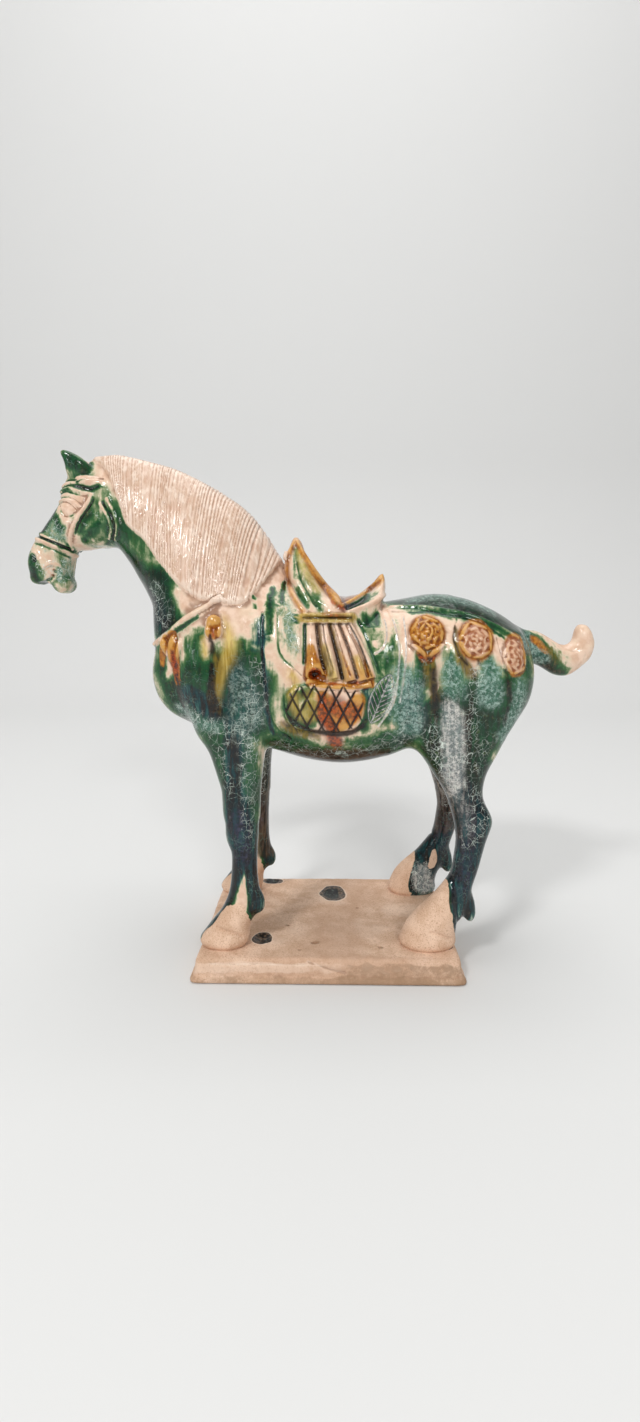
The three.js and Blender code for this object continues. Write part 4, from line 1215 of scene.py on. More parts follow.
    ("umber", 3, 1, -12, 90.6, 2.6, 2, 90, 3.6, 14, 91.6, 2.6),
    # flank and croup
    ("green", 4, 0.85, 34, 124, 4, 34, 110, 9, 46, 108, 14, 60, 108, 17, 75, 110, 16, 82, 116, 10),
    ("green", 3, 0.6, 29, 146, 1, 28.6, 134, 2, 29, 124, 4),
    ("green", 2.6, 0.85, 39, 131, 4, 38, 122, 4),
    ("green", 3, 0.75, 50, 133, 3, 51, 124, 5),
    ("green", 3, 0.8, 65, 128, 4, 66, 120, 6, 75, 121, 5),
    ("teal", 3, 0.7, 34, 120, 5, 35, 106, 6),
    ("crystal", 4, 1, 31, 124, 6, 31, 114, 7, 33, 105, 6),
    ("crystal", 4, 0.9, 49.6, 129, 4, 51, 119, 5),
    ("crystal", 4, 1.1, 64.6, 128, 4.4, 65.6, 117, 5.4),
    ("cream", 2.4, 0.9, 31, 148, 1.6, 31.4, 138, 2.4, 32, 132, 1.6),
    ("cream", 2, 1, 48.6, 147, 1.6, 50, 141.6, 1.6),
    ("cream", 2.4, 1, 68.4, 145, 1.6, 69, 138, 1.8, 69.6, 131, 1.4),
    ("green", 3, 0.8, 83, 130, 3, 82, 118, 4, 78, 104, 5),
    ("green", 2.4, 1, 39, 110, 2.6, 41, 102, 4.6, 44, 94, 4.6, 47, 86, 4),
    ("olive", 2, 0.8, 40.6, 133.4, 2, 42.4, 127, 2.6, 43, 117, 2.4),
    ("dark", 1.8, 0.9, 41, 132, 0.8, 42.8, 126, 1.4, 43.2, 117, 1.5, 44.2, 106, 1.2),
    ("rust", 1.8, 0.8, 37, 133, 1, 40, 130.6, 1, 43.4, 133, 1),
    ("pale", 3.4, 0.9, 49.6, 110, 4, 51, 102, 5, 51.6, 92, 4.4, 51.4, 83, 4, 52, 76, 2.6),
    ("gold", 1.8, 0.8, 50.8, 138, 1, 53, 132.4, 1.4),
    ("olive", 1.8, 1, 51.6, 144, 0.8, 52, 136, 1.2, 55, 130.4, 2.2, 57.6, 125, 1.6),
    ("dark", 1.2, 0.9, 51.4, 145, 0.4, 50.8, 139, 0.6, 52.6, 133.4, 0.6, 56, 130, 0.6),
    ("dark", 1.6, 0.9, 60, 131, 0.7, 58.6, 122, 0.8, 57.8, 112, 0.9, 57, 103, 1.2, 57, 95, 1.2,
     57.4, 87, 0.8),
    ("crackle", 2.6, 1, 60, 128, 2.6, 58.4, 117, 2.4, 57.4, 104, 2.6, 56, 92, 3),
    ("dark", 1.6, 0.9, 71.6, 127, 0.5, 73.4, 119, 0.9, 73, 111, 0.9, 71.6, 105, 0.6),
    ("green", 3, 1, 63, 106, 3, 64, 96, 4, 62, 84, 4),
    ("crystal", 3, 0.95, 79, 121, 3, 77, 110, 4, 73, 100, 4),
    ("green", 2.4, 0.95, 27, 155, 1.6, 36, 156, 4.4, 50, 155.6, 6, 64, 151.4, 6, 76, 145.4, 5,
     84, 141, 4.4),
    ("crystal", 3, 0.85, 34, 155.6, 1, 44, 157.4, 2, 56, 156.4, 2, 70, 150.6, 1.6),
    ("green", 0.8, 1, 34, 150.8, 0.4, 44, 150, 0.5, 54, 148.6, 0.6, 64, 145, 0.6, 72, 141, 0.5),
    # near hind leg
    ("green", 3, 0.95, 50, 96, 13, 56, 84, 14, 59, 72, 13, 60, 60, 11, 58, 40, 10, 52, 26, 16,
     46, 14, 20),
    ("teal", 3, 1, 50, 86, 4, 55, 76, 6, 59, 64, 9, 58.6, 50, 7, 57, 38, 7),
    ("pale", 4, 0.4, 52, 78, 4, 56, 68, 3.6, 57, 58, 2.4),
    ("violet", 5, 0.4, 59, 66, 4, 58, 52, 5, 56.6, 36, 5),
    ("crackle", 3, 1, 43, 100, 3.6, 46, 90, 3.6, 50, 82, 3),
    ("crackle", 3, 1, 61, 76, 3.4, 62, 66, 5, 60, 56, 4),
    ("crackle", 3, 0.6, 64, 98, 3, 60, 86, 3.4, 54, 74, 3),
    ("clay", 0.8, 1, 49.8, 38.4, 0.5, 47.2, 32.4, 3.4, 44.6, 26, 7.4, 43, 18, 11.6, 42.4, 10, 14),
    ("strip", 0.8, 1, 57, 41, 6, 57.2, 32, 5.8, 57.4, 23, 5.5, 57.8, 18, 4.6),
    # tail
    ("green", 2.4, 0.95, 83, 136, 5.6, 90, 135, 6, 97, 127.4, 5.4, 104, 123.6, 3.6),
    ("crystal", 3, 0.9, 85, 138, 5, 92, 131, 5),
    ("umber", 3, 0.6, 88, 129, 2.4, 96, 126, 3, 103, 124.6, 2),
    ("olive", 3, 0.6, 96, 136, 1.6, 101, 130, 2),
    ("green", 3, 0.5, 98, 134, 3, 104, 128, 3),
    ("amber", 1.8, 1, 90.4, 138, 1.8, 94.4, 134.4, 1.8),
]
# The far flank has the near flank's marks, shifted about, apart from these on its legs
FAR_MARKS = [
    ("umber", 4, 1, -34, 96, 8, -34, 70, 8, -31, 36, 8),
    ("umber", 4, 0.9, 50, 84, 6, 56, 66, 7, 57, 48, 6),
    ("strip", 1.4, 1, 51, 34, 6, 49, 26, 6.4, 48.6, 18, 8, 49, 10, 8.8),
    ("pale", 3, 0.8, 46, 22, 4, 48, 15, 5),
    ("crackle", 3, 1, 46, 22, 5, 48, 14, 6),
    ("clay", 1, 1, 52.6, 32.6, 0.8, 52.4, 28.7, 2.1, 51.2, 24.4, 1.6),
]
PIGMENTS = [
    "green", "teal", "amber", "rust",
    "dark", "crystal", "crackle", "clay",
    "gold", "olive", "pale", "rose",
    "violet", "umber", "pool", "mane",
]


def paint_marks(layers, flank, marks, allowed):
    """Adds marks to the pigment layers. A layer is half its strength on the edge of a mark."""
    for pigment, soft, strength, *path in marks:
        path = np.reshape(path, (-1, 3))
        near = near_to(flank, path, path[:, 2].max() + 2 * soft)
        smooth = smooth_through(path, 4) if len(path) > 2 else path
        soft = soft * (1.5 if pigment == "green" and soft > 1 else 1)
        distance, share = away(flank[near], smooth)
        half = np.interp(share, np.linspace(0, 1, len(smooth)), smooth[:, 2])
        value = strength * ramp(half - distance, -soft, soft) * allowed[near]
        if pigment == "cream":
            for name in ("green", "teal", "dark", "crystal", "crackle", "olive"):
                layers[name][near] *= 1 - value
            continue
        if pigment == "strip":
            layers["clay"][near] *= 1 - value
            pigment = "teal"
        if pigment == "teal":
            layers["green"][near] = np.maximum(layers["green"][near], 0.9 * value)
        layers[pigment][near] = np.maximum(layers[pigment][near], value)


def pooling(points, faces):
    """Above 0.5 where the surface of a mesh is hollow, and below where it stands proud."""
    count = len(points)
    start, end = np.vstack([faces[:, [0, 1]], faces[:, [1, 2]], faces[:, [2, 0]]]).T
    edges = np.maximum(np.bincount(start, None, count) + np.bincount(end, None, count), 1)

    def mean_round(at_end, at_start):
        """For each point, the mean over its edges of what they have to give there."""
        return (np.bincount(start, at_end, count) + np.bincount(end, at_start, count)) / edges

    offset = np.stack([mean_round(axis[end], axis[start]) for axis in points.T], -1) - points
    length = np.linalg.norm(points[start] - points[end], axis=1)
    span = np.maximum(mean_round(length, length), 0.2)
    bend = np.einsum("ij,ij->i", offset, normals_of(points, faces)) / span
    for _ in range(2):
        bend = 0.5 * bend + 0.5 * mean_round(bend[end], bend[start])
    return np.clip(0.5 + 3.2 * bend, 0, 1)


def glaze_layers(points, faces, sizes):
    """The smooth pigment layers at each point of the horse."""
    layers = {name: np.zeros(len(points)) for name in PIGMENTS}
    flank = points[:, [0, 2]]
    y = points[:, 1]
    wander = np.stack([0.7 * cloudy(points, 5, 21), 1.2 * cloudy(points, 7, 22)], -1)
    astray = np.stack([6 * cloudy(points, 26, 23), 5 * cloudy(points, 24, 24)], -1)
    astray *= ramp(points[:, 2], 46, 90)[:, None]
    near, far = ramp(1.5 - y, 0, 3), ramp(y + 1.5, 0, 3)
    paint_marks(layers, flank + wander, NEAR_MARKS, near)
    paint_marks(layers, flank + wander + astray, NEAR_MARKS, far)
    paint_marks(layers, flank + wander, FAR_MARKS, far)
    rim = np.where(flank[:, 1] > 150, 1, ramp(np.abs(y), 6, 12))
    paint_marks(layers, flank, MOULD_MARKS, rim)
    outer = outermost(points)
    lines, _ = quilting(flank)
    layers["dark"] = np.maximum(layers["dark"], lines * outer)
    layers["pale"] = np.maximum(layers["pale"], 0.85 * leaf_veins(flank) * outer)
    engrave(layers["pale"], flank, [(-0.9, 0.45, *path) for _, _, *path in PIPING], outer)
    mane = maybe_mane(points)
    covered = np.zeros(len(points))
    _, covered[mane] = mane_combing(points[mane], sizes.mane_locks, sizes.mane_depth)
    for layer in layers.values():
        layer *= 1 - covered
    layers["pool"], layers["mane"] = pooling(points, faces), covered
    return layers


# Layers that one colour attribute holds
CHANNELS = 4


def spread_layers(mesh, layers):
    """Keeps the layers on the mesh, as many to a colour attribute as it has channels."""
    names = list(layers)
    for place in range(0, len(names), CHANNELS):
        values = np.zeros((len(mesh.vertices), CHANNELS), np.float32)
        for channel, name in enumerate(names[place : place + CHANNELS]):
            values[:, channel] = layers[name]
        attribute = mesh.attributes.new(f"glaze_{place // CHANNELS}", "FLOAT_COLOR", "POINT")
        attribute.data.foreach_set("color", values.ravel())


def finished(name, points, faces, layers, material):
    """The object of a finished piece, with its layers and its material."""
    mesh = to_mesh(name, points, faces)
    spread_layers(mesh, layers)
    mesh.shade_smooth()
    mesh.materials.append(material)
    return linked(name, mesh)


def srgb(*channels):
    """A colour as shaders want it, from the 0 to 255 that a paint chart gives."""
    return opaque((c / 255) ** 2.2 for c in channels)


def opaque(colour):
    return (*colour, 1)


class Finish(Graph):
    """A material whose patterns read Object coordinates in millimetres and the layers kept on the mesh."""

    def __init__(self, name, layers):
        self.material = bpy.data.materials.new(name)
        self.material.use_nodes = True
        super().__init__(self.material.node_tree)
        self.tree.nodes.clear()
        place = self.add("ShaderNodeTexCoord").outputs["Object"]
        self.place = self.vector("SCALE", {"Vector": place, "Scale": 1 / MM})
        self.layers = {}
        for at in range(0, len(layers), CHANNELS):
            stored = self.add("ShaderNodeAttribute", {"attribute_name": f"glaze_{at // CHANNELS}"})
            split = self.add("ShaderNodeSeparateColor", None, {"Color": stored.outputs["Color"]})
            for name, socket in zip(layers[at:], [*split.outputs[:3], stored.outputs["Alpha"]]):
                self.layers[name] = Number(self, socket)

    def vector(self, operation, inputs):
        return self.add("ShaderNodeVectorMath", {"operation": operation}, inputs).outputs[0]

    def noise(self, size, detail=3.0, roughness=0.55, stretch=(1, 1, 1), twist=0.0):
        """Cloudy noise from about 0.25 to 0.75, with lumps of about `size` millimetres."""
        where = self.add("ShaderNodeMapping", None, {"Vector": self.place, "Scale": stretch})
        inputs = {"Vector": where, "Scale": 1 / size, "Detail": detail, "Roughness": roughness}
        return self.number("ShaderNodeTexNoise", None, inputs | {"Distortion": twist})

    def cracks(self, size, bend):
        """Distance to the nearest edge of irregular cells."""
        inputs = {"Vector": self.place, "Scale": 0.5 / size, "Detail": 2.0}
        drift = self.add("ShaderNodeTexNoise", None, inputs)
        moved = self.vector("SCALE", {"Vector": drift.outputs["Color"], "Scale": bend * size})
        inputs = {"Vector": self.vector("ADD", {0: self.place, 1: moved}), "Scale": 1 / size}
        return self.number("ShaderNodeTexVoronoi", {"feature": "DISTANCE_TO_EDGE"}, inputs)

    def grains(self, size):
        """A random number for each of many small cells."""
        inputs = {"Vector": self.place, "Scale": 1 / size}
        return self.number("ShaderNodeTexVoronoi", {"feature": "F1"}, inputs, "Color")

    def graded(self, value, *stops):
        return self.add("ShaderNodeValToRGB", {"stops": stops}, {"Fac": value}).outputs[0]

    def touched(self, colour, *touches):
        """The colour with others over it, each given by its share and as on a paint chart."""
        for share, touch in touches:
            colour = self.mix(share, colour, srgb(*touch))
        return colour

    def surface(self, colour, roughness, height, depth):
        bump = self.add("ShaderNodeBump", None, {"Height": height, "Distance": depth, "Strength": 1.0})
        inputs = {"Base Color": colour, "Roughness": roughness, "Normal": bump, "Specular IOR Level": 0.42}
        shader = self.add("ShaderNodeBsdfPrincipled", None, inputs)
        self.add("ShaderNodeOutputMaterial", None, {"Surface": shader})
        return self.material


def clay_colour(finish, colours):
    """Bare fired clay, with its grain and the brown smudges of handling."""
    grain, blotch = finish.noise(0.5, 2.0), finish.noise(9, 4.0)
    colour = finish.mix(blotch.step(0.35, 0.68), srgb(206, 170, 142), opaque(colours.clay))
    dark, light = grain.step(0.52, 0.7) * 0.7, grain.step(0.44, 0.24) * 0.4
    return finish.touched(colour, (dark, (176, 134, 108)), (light, (242, 218, 196)))


def glaze_finish(colours):
    """Splashed lead glaze: cream, green, blue-green and amber run together, with crackle over them."""
    finish = Finish("splashed_lead_glaze", PIGMENTS)
    mix, layers = finish.mix, finish.layers
    fine, small, middle, large = finish.noise(0.6), finish.noise(1.3), finish.noise(3.4), finish.noise(11)
    runs = finish.noise(1.7, 3.0, 0.6, (1, 1, 0.12), 0.4)
    ragged = (small - 0.5) * 0.16 + (middle - 0.5) * 0.5 + (runs - 0.5) * 0.6
    pool = layers["pool"]
    hollow, proud = pool.step(0.53, 0.74), pool.step(0.47, 0.26)

    def cover(name, soft, rough=1.0):
        return (layers[name] + ragged * rough).step(0.5 - soft, 0.5 + soft)

    colour = finish.touched(
        mix(middle.step(0.35, 0.66), srgb(216, 180, 154), opaque(colours.cream)),
        (large.step(0.5, 0.68) * 0.4, (236, 214, 186)),
        (pool.step(0.51, 0.68) * 0.7, (124, 84, 60)),
    )

    copper = layers["green"]
    thick = copper + (ragged + (pool - 0.5) * 1.1) * (copper * 2.4).least(1)
    leaf = finish.graded(
        thick,
        (0.22, srgb(212, 202, 174)),
        (0.36, srgb(134, 146, 110)),
        (0.5, srgb(60, 100, 60)),
        (0.64, opaque(colours.green)),
        (0.82, srgb(12, 50, 34)),
        (1.0, srgb(7, 22, 17)),
    )
    leaf = finish.touched(leaf, ((middle * 0.5 + small * 0.5).step(0.53, 0.66) * 0.4, (72, 104, 54)))
    sea = finish.graded(
        thick + (runs - 0.5) * 0.9,
        (0.3, srgb(150, 164, 150)),
        (0.5, srgb(44, 88, 82)),
        (0.68, opaque(colours.blue)),
        (0.94, srgb(6, 18, 26)),
    )
    colour = mix(thick.step(0.05, 0.36), colour, mix(cover("teal", 0.35), leaf, sea))

    frost = finish.noise(0.42, 2.0)
    speckle = (finish.grains(0.36) * 0.5 + frost * 0.5 + small * 0.4).step(0.5, 0.82)
    # Each pigment over the ones before it: how soft and how ragged its edge is, how much it hides,
    # the pattern between its two tones, the tones, and touches of others
    for name, soft, rough, hiding, pattern, first, second, *touches in (
        ("umber", 0.35, 1, 0.85, runs.step(0.35, 0.65), srgb(26, 22, 20), srgb(96, 80, 66)),
        ("violet", 0.4, 1, 0.55, small.step(0.35, 0.65), srgb(26, 28, 46), srgb(74, 78, 112)),
        ("crystal", 0.4, 1, 0.2 + 0.6 * speckle, (small * 0.6 + middle * 0.4).step(0.4, 0.62),
         srgb(78, 118, 104), srgb(166, 192, 182)),
        ("pale", 0.4, 0.8, 0.4 + 0.5 * speckle, (runs * 0.5 + small * 0.5).step(0.4, 0.6),
         srgb(136, 142, 142), srgb(216, 213, 207)),
        ("gold", 0.55, 0.35, 0.92, runs.step(0.36, 0.64), srgb(170, 136, 48), srgb(214, 186, 104)),
        ("olive", 0.4, 1, 0.9, runs.step(0.36, 0.64), srgb(58, 46, 14), srgb(128, 104, 36)),
        ("amber", 0.3, 0.6, 1, (small * 0.6 + runs * 0.4).step(0.4, 0.6),
         srgb(142, 80, 20), opaque(colours.amber),
         # amber darkens where glaze pools in hollows, and takes a painted highlight where it stands proud
         (hollow * 0.75, (100, 48, 12)), (proud * 0.55, (222, 174, 100))),
        ("rose", 0.3, 0.6, 1, middle.step(0.4, 0.6), srgb(150, 92, 58), srgb(190, 142, 112),
         # rose darkens where glaze pools in hollows, and takes a painted highlight where it stands proud
         (pool.step(0.5, 0.68) * 0.75, (134, 74, 44)), (proud * 0.65, (228, 190, 158))),
        ("rust", 0.4, 0.7, 0.9, small.step(0.4, 0.62), srgb(84, 26, 10), srgb(166, 66, 18)),
        ("dark", 0.35, 0.6, 0.94, small.step(0.4, 0.65), srgb(10, 9, 8), srgb(46, 32, 18)),
    ):
        paint = finish.touched(mix(pattern, first, second), *touches)
        colour = mix(cover(name, soft, rough) * hiding, colour, paint)

    net, narrow = finish.cracks(3.4, 0.35), finish.cracks(1.8, 0.4)
    broken = (fine * 0.5 + middle * 0.5).step(0.44, 0.56)
    narrow = narrow.step(0.034, 0.01) * middle.step(0.48, 0.56)
    crack = (net.step(0.028, 0.008) * (0.3 + broken)).most(narrow)
    lines = crack * cover("crackle", 0.4)
    faint = crack * thick.step(0.5, 0.8) * large.step(0.46, 0.56)
    colour = finish.touched(colour, (lines * 0.8, (210, 220, 210)), (faint * 0.3, (120, 156, 142)))

    combed = layers["mane"].step(0.3, 0.7)
    locks = finish.noise(2.4, 2.0, 0.6, (1, 1, 0.07))
    hair = finish.touched(
        mix(runs.step(0.35, 0.66), srgb(204, 172, 148), srgb(222, 194, 174)),
        (locks.step(0.5, 0.36) * 0.4, (196, 154, 130)),
        (locks.step(0.54, 0.66) * 0.5, (246, 228, 212)),
        (pool.step(0.51, 0.7) * 0.5, (160, 118, 96)),
        # a painted highlight on the crests of the combed strands
        (pool.step(0.48, 0.34) * 0.5, (246, 226, 208)),
    )
    colour = mix(combed, colour, hair)

    bare = (layers["clay"] + ragged * 0.35).step(0.42, 0.58)
    colour = mix(bare, colour, clay_colour(finish, colours))

    gloss = 0.07 + fine * 0.06 + lines * 0.2 + combed * 0.06 + cover("crystal", 0.4) * speckle * 0.1
    roughness = gloss * (1 - bare) + bare * 0.85
    grain = finish.noise(0.4, 2.0)
    height = (middle * 0.6 + small * 0.3 - lines * 0.3) * (1 - bare) + bare * grain * 0.6
    return finish.surface(colour, roughness, height, 0.22 * MM)


class GlazeColours(bpy.types.PropertyGroup):
    cream: bpy.props.FloatVectorProperty(
        name="Cream", description="Clear glaze over the clay",
        default=srgb(234, 204, 182)[:3], subtype="COLOR",
    )
    green: bpy.props.FloatVectorProperty(
        name="Green", description="Copper green glaze",
        default=srgb(28, 76, 44)[:3], subtype="COLOR",
    )
    blue: bpy.props.FloatVectorProperty(
        name="Blue", description="Dark blue-green glaze of the legs",
        default=srgb(20, 56, 60)[:3], subtype="COLOR",
    )
    amber: bpy.props.FloatVectorProperty(
        name="Amber", description="Iron amber glaze",
        default=srgb(182, 120, 44)[:3], subtype="COLOR",
    )
    clay: bpy.props.FloatVectorProperty(
        name="Clay", description="Bare fired clay",
        default=srgb(231, 198, 172)[:3], subtype="COLOR",
    )


class FireHorse(bpy.types.Operator):
    """Mesh the clay horse, comb and engrave it, and glaze it"""

    bl_idname = "sancai.fire_horse"
    bl_label = "Fire Horse"

    # Where the mesh is made finer before it is engraved: boxes of x and z, and the least distance
    # from the middle plane
    FINE_ZONES = [
        [(-134, 158), (-90, 222), 0],
        [(-104, 149), (-18, 222), 3],
        [(-22, 99), (27, 186), 3],
        [(28, 124), (84, 152), 8],
        [(-73, 118), (-40, 152), 8],
    ]

    def execute(self, context):
        sizes = context.scene.horse_sizes
        points, faces = clay().meshed()
        flank, side = points[:, [0, 2]], np.abs(points[:, 1])
        wanted = np.zeros(len(points), bool)
        for low, high, least in self.FINE_ZONES:
            wanted |= ((flank > low) & (flank < high)).all(1) & (side >= least)
        points, faces = refined(points, faces, wanted)
        normals = normals_of(points, faces)
        points += normals * fine_relief(points, normals, sizes)[:, None]
        points, faces = thinned(points, faces, sizes.triangles)
        glaze = glaze_finish(context.scene.glaze_colours)
        horse = finished("horse_casting", points, faces, glaze_layers(points, faces, sizes), glaze)
        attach(horse, "root")
        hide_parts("horse")
        return {"FINISHED"}


STAINS_AND_SHADE = ["puddle", "smudge", "chalk", "glazed", "pool", "scratch", "shade"]


def slab_finish(colours):
    """Bare clay of the slab, with its glaze puddles, smudges and painted shade."""
    finish = Finish("bare_clay", STAINS_AND_SHADE)
    mix, layers = finish.mix, finish.layers
    small, middle, large = finish.noise(1.2), finish.noise(4), finish.noise(16, 4.0)
    ragged = (small - 0.5) * 0.4 + (middle - 0.5) * 0.7
    ring = (layers["puddle"] + ragged * 0.25).step(0.44, 0.56)
    glassy = (layers["glazed"] + ragged * 0.25).step(0.4, 0.6)
    colour = finish.touched(
        clay_colour(finish, colours),
        (large.step(0.52, 0.68) * 0.35, (240, 212, 190)),
        # painted shade: darker in a band across the middle of the slab like the horse's shadow, and on the
        # front face, with cloudy patches
        ((layers["shade"] + ragged * 0.4).step(0.3, 1.0) * 0.55, (188, 150, 124)),
        ((layers["smudge"] + ragged * 1.6).step(0.2, 1.2) * 0.9, (150, 120, 94)),
        ((layers["chalk"] + ragged * 0.7).step(0.4, 0.7) * 0.5, (236, 208, 186)),
        (layers["scratch"] * 0.6, (244, 226, 208)),
        (layers["pool"].step(0.54, 0.7) * 0.5, (150, 112, 88)),
        ((small * 0.5 + finish.noise(0.7, 2.0) * 0.5).step(0.53, 0.62) * 0.3, (178, 140, 112)),
        (layers["puddle"].step(0.1, 0.42) * 0.6, (240, 220, 202)),
    )
    colour = mix(ring, colour, mix(small.step(0.42, 0.62), srgb(34, 28, 22), srgb(112, 92, 74)))
    colour = mix(glassy, colour, mix(small.step(0.5, 0.62), srgb(6, 7, 7), srgb(66, 74, 66)))
    wet = ring.most(glassy)
    roughness = 0.86 - wet * 0.5 + small * 0.06
    height = finish.noise(0.45, 2.0) * 0.6 * (1 - wet) + middle * 0.5
    return finish.surface(colour, roughness, height, 0.25 * MM)


class FireSlab(bpy.types.Operator):
    """Model the bare clay slab with its worn edges, pits and glaze puddles"""

    bl_idname = "sancai.fire_slab"
    bl_label = "Fire Slab"

    VOXEL, QUICK_VOXEL, CORNER = 0.6, 1.1, 2.2
    # Puddles of glaze that dripped on the slab: middle x and y, half length and half width,
    # and how far the glassy pool in each lies from its middle, as shares of those
    PUDDLES = [
        (2.3, 21.5, 6.6, 8.2, -0.1, 0),
        (-28.5, -23.5, 4.6, 5.4, 0.34, -0.3),
        (-29.7, 36.4, 5.4, 4, 0, 0.2),
        (49, -28, 4.4, 5, 0.2, 0),
    ]
    # Middle x and y, half length and half width
    PITS = [
        (-5.5, -27, 1.7, 0.9),
        (-18, -12, 0.6, 0.5),
        (22, -30, 0.7, 0.6),
        (14, 6, 0.5, 0.5),
        (-12, -33, 0.5, 0.4),
    ]
    # Cracks in the front face: depth, half width, and then x and z of their points
    CRACKS = [
        (0.3, 0.6, -52, 7.7, -40, 7.3, -27, 7.6, -14, 7.2, -6, 7.5),
        (0.4, 0.6, -8, 8.6, -3, 7, 3, 5.2, 7, 4.6),
    ]

    def outline(self, sizes):
        """Rings of points round the slab, from its foot up to its upper edge."""
        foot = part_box("base")[1] / MM
        top, edge, flare = foot.z, sizes.slab_edge, sizes.slab_flare
        angle = np.linspace(0, 2 * np.pi, 200, endpoint=False)
        unit = np.stack([np.cos(angle), np.sin(angle)], -1)
        square = unit / np.abs(unit).max(1, keepdims=True)
        # Height of each ring, and how far it stays inside the foot's widest line
        foot_rings = [(0, 0.4), (0.5, 0), (1.6, 0.3), (2.8, flare - 0.5)]
        rings = []
        for z, inset in [*foot_rings, (top - edge, flare), (top, flare + edge)]:
            reach = np.array(foot[:2]) - inset
            inner = np.clip(square * reach, self.CORNER - reach, reach - self.CORNER)
            offset = square * reach - inner
            length = np.linalg.norm(offset, axis=1, keepdims=True)
            rounded = inner + offset * np.minimum(1, self.CORNER / np.maximum(length, 1e-9))
            rings.append(np.column_stack([rounded, np.full(len(angle), float(z))]))
        return rings

    def execute(self, context):
        sizes = context.scene.horse_sizes
        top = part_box("base")[1].z / MM
        slab = Clay(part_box("base"), self.VOXEL, mirrored=False)
        slab.add(*skin_over(self.outline(sizes)), fillet=0.1)
        slab.soften(3)
        for x, y, long, wide, *_ in self.PUDDLES:
            slab.lump((x, y, top + 0.5), (long * 0.72, wide * 0.72, 1.9), 0, 0.8, cut=True)
        for x, y, long, wide in self.PITS:
            slab.lump((x, y, top + 0.1), (long, wide, 1.1), 0, 0.3, cut=True)
        points, faces = slab.meshed()
        normals = normals_of(points, faces)
        height = 0.16 * cloudy(points, 9, 31) + 0.07 * cloudy(points, 2.4, 32)
        height += 0.05 * cloudy(points, 1.2, 33) - 0.12
        rim = ramp(points[:, 2], top - 3, top - 1) * ramp(np.abs(normals[:, 2]), 1, 0.6)
        height -= rim * 0.5 * np.clip(cloudy(points, 5, 34) + 0.2, 0, 1)
        engrave(height, points[:, [0, 2]], self.CRACKS, ramp(-normals[:, 1], 0.5, 0.8))
        height *= ramp(points[:, 2], 0.2, 1.2)
        points += normals * height[:, None]
        points[:, 2] = np.maximum(points[:, 2], 0)
        points, faces = thinned(points, faces, sizes.slab_triangles)
        clay_finish = slab_finish(context.scene.glaze_colours)
        thing = finished("clay_slab", points, faces, self.stains_and_shade(points, faces, top), clay_finish)
        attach(thing, "root")
        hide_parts("base")
        return {"FINISHED"}

    def stains_and_shade(self, points, faces, top):
        """The layers of glaze, wear, smudges and painted shade at each point of the slab."""
        stains_and_shade = {name: np.zeros(len(points)) for name in STAINS_AND_SHADE}
        upper = ramp(points[:, 2], top - 2, top - 1.2)
        flat = points[:, :2] + 1.2 * np.stack([cloudy(points, 4, 41), cloudy(points, 4, 42)], -1)
        front = ramp(-points[:, 1], 36, 40)
        face_x = points[:, 0] + 3 * cloudy(points, 8, 45)
        face_z = points[:, 2] + 0.8 * cloudy(points, 4, 46)
        below_crack = ramp(8.6 - face_z, 0, 1)
        sooty = 0.7 * ramp(3.4 - face_z, 0, 1) + 0.75 * ramp(face_x, 2, 10) * below_crack
        stains_and_shade["smudge"] = front * np.clip(sooty, 0, 1)

        def spot(name, x, y, long, wide, strength):
            reach = np.hypot((flat[:, 0] - x) / long, (flat[:, 1] - y) / wide)
            stains_and_shade[name] = np.maximum(stains_and_shade[name], upper * strength(reach))

        for x, y, long, wide, over, back in self.PUDDLES:
            spot("puddle", x, y, long, wide, lambda reach: np.clip(3.5 - 3 * reach, 0, 1))
            pool = x + over * long, y + back * wide
            spot("glazed", *pool, long, wide, lambda reach: np.clip(2.36 - 3 * reach, 0, 1))
        for pit in self.PITS:
            spot("smudge", *pit, lambda reach: ramp(2.2 - reach, 0, 1))
        # Painted shadow in a band across the middle of the slab under the horse, and painted shade on the
        # front face
        shade_under_horse_and_front = np.exp(-(((points[:, 0] - 8) / 24) ** 2)) + 0.9 * front
        stains_and_shade["shade"] = np.clip(0.1 + 0.4 * cloudy(points, 24, 43) + 0.7 * shade_under_horse_and_front, 0, 1)
        peeled = front * ramp(face_z, 3, 5) * below_crack
        stains_and_shade["chalk"] = np.clip(0.1 + 0.4 * cloudy(points, 13, 44) + 0.55 * peeled, 0, 1)
        lit = np.zeros(len(points))
        engrave(lit, points[:, [0, 2]], [(-1, 0.3, *path) for _, _, *path in self.CRACKS], front)
        stains_and_shade["scratch"] = np.clip(lit * (0.5 + 0.9 * cloudy(points, 1.6, 47)), 0, 1)
        stains_and_shade["pool"] = pooling(points, faces)
        return stains_and_shade


class StudioLooks(bpy.types.PropertyGroup):
    backdrop: bpy.props.FloatVectorProperty(
        name="Backdrop", description="Colour of the floor and backdrop",
        default=srgb(222, 222, 221)[:3], subtype="COLOR",
    )
    key_power: bpy.props.FloatProperty(
        name="Key Light", description="Power of the main soft light",
        default=16.2, min=0, unit="POWER",
    )
    fill_power: bpy.props.FloatProperty(
        name="Fill Light", description="Power of the soft light beside the camera",
        default=7.5, min=0, unit="POWER",
    )
    glint_power: bpy.props.FloatProperty(
        name="Glint Light", description="Power of the small light on the left",
        default=0.5, min=0, unit="POWER",
    )
    top_power: bpy.props.FloatProperty(
        name="Top Light", description="Power of the large soft light overhead",
        default=19.0, min=0, unit="POWER",
    )
    sky: bpy.props.FloatProperty(
        name="Surroundings", description="Brightness of the even light all round",
        default=0.47, min=0,
    )


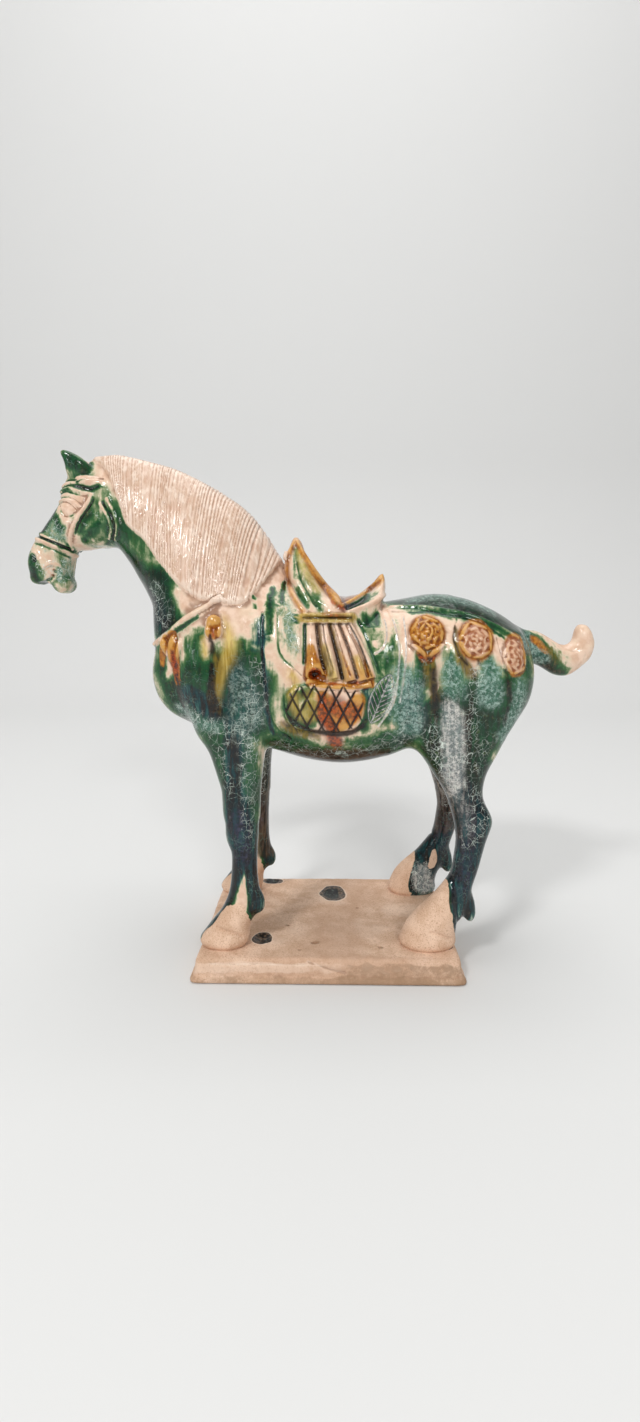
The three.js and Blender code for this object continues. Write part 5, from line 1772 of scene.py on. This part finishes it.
class SetStudio(bpy.types.Operator):
    """Set the pale floor and backdrop, the soft lights and the camera"""

    bl_idname = "sancai.set_studio"
    bl_label = "Set Studio"

    # Place and width of each light in metres. All of them face the middle of the figure.
    LIGHTS = {
        "key": ((-0.9, -1.4, 1.6), 0.3),
        "fill": ((0.3, -1.5, 0.95), 0.3),
        "glint": ((-0.95, -0.95, 0.3), 0.08),
        "top": ((0, 0.2, 2.2), 1.6),
    }
    FIGURE = Vector((0, 0, 0.12))
    # The camera as fitted to the slab: place in metres, degrees that it looks down and to the left,
    # focal length and sensor in millimetres, and upward shift as a share of the frame
    CAMERA, DOWN, LEFT = (0.0013, -0.2896, 0.1496), 5.24, 1.02
    FOCAL, SENSOR, SHIFT = 16.23, 36, -0.0267
    # The floor in millimetres: how far it goes, where its curve starts, the curve's radius, and
    # the top of the backdrop
    REACH, BEHIND, BEND, TALL = 3000, 700, 500, 2600

    def execute(self, context):
        looks = context.scene.studio_looks
        self.sweep(looks)
        for name, (place, width) in self.LIGHTS.items():
            lamp = bpy.data.lights.new(f"{name}_light", "AREA")
            lamp.energy = getattr(looks, f"{name}_power")
            lamp.size = width
            light = linked(lamp.name, lamp)
            light.location = place
            light.rotation_euler = (self.FIGURE - light.location).to_track_quat("-Z", "Y").to_euler()
        world = bpy.data.worlds.new("soft_surroundings")
        world.use_nodes = True
        ground = world.node_tree.nodes["Background"]
        ground.inputs["Color"].default_value = srgb(236, 236, 235)
        ground.inputs["Strength"].default_value = looks.sky
        context.scene.world = world
        lens = bpy.data.cameras.new("camera")
        lens.sensor_width = self.SENSOR
        lens.lens = self.FOCAL
        lens.shift_y = self.SHIFT
        camera = linked("camera", lens)
        camera.location = self.CAMERA
        camera.rotation_euler = (math.radians(90 - self.DOWN), 0, math.radians(self.LEFT))
        context.scene.camera = camera
        context.scene.view_settings.view_transform = "Standard"
        return {"FINISHED"}

    def sweep(self, looks):
        """A floor that rises behind the figure in one large curve."""
        turn = np.linspace(0, math.pi / 2, 24)
        curve = [(self.BEHIND + self.BEND * math.sin(a), self.BEND - self.BEND * math.cos(a)) for a in turn]
        profile = [(-self.REACH, 0), *curve, (self.BEHIND + self.BEND, self.TALL)]
        points = np.array([(side * self.REACH, y, z) for y, z in profile for side in (-1, 1)], float)
        row = 2 * np.arange(len(profile) - 1)
        faces = np.stack([row, row + 1, row + 3, row + 2], -1)
        floor = linked("floor", to_mesh("floor", points, faces))
        floor.data.shade_smooth()
        paper = bpy.data.materials.new("backdrop_paper")
        paper.use_nodes = True
        shader = paper.node_tree.nodes["Principled BSDF"]
        shader.inputs["Base Color"].default_value = opaque(looks.backdrop)
        shader.inputs["Roughness"].default_value = 0.8
        floor.data.materials.append(paper)


STEPS = [
    ModelBody,
    ModelSaddle,
    ModelCloth,
    ModelHarness,
    ModelRosettes,
    FireHorse,
    FireSlab,
    SetStudio,
]


class SancaiPanel(bpy.types.Panel):
    """Sizes, colours and steps of the horse figure"""

    bl_idname = "VIEW3D_PT_sancai"
    bl_label = "Sancai Horse"
    bl_space_type = "VIEW_3D"
    bl_region_type = "UI"
    bl_category = "Sancai"

    def draw(self, context):
        for group in (context.scene.horse_sizes, context.scene.glaze_colours, context.scene.studio_looks):
            box = self.layout.box()
            for name in group.__annotations__:
                box.prop(group, name)
        for step in STEPS:
            self.layout.operator(step.bl_idname)


GROUPS = {"horse_sizes": BodySizes, "glaze_colours": GlazeColours, "studio_looks": StudioLooks}


def register():
    for kind in [*GROUPS.values(), *STEPS, SancaiPanel]:
        bpy.utils.register_class(kind)
    for name, kind in GROUPS.items():
        setattr(bpy.types.Scene, name, bpy.props.PointerProperty(type=kind))


def unregister():
    for name in GROUPS:
        delattr(bpy.types.Scene, name)
    for kind in reversed([*GROUPS.values(), *STEPS, SancaiPanel]):
        bpy.utils.unregister_class(kind)


def main():
    register()
    for step in STEPS:
        getattr(bpy.ops.sancai, step.bl_idname.split(".")[1])()


if __name__ == "__main__":
    main()
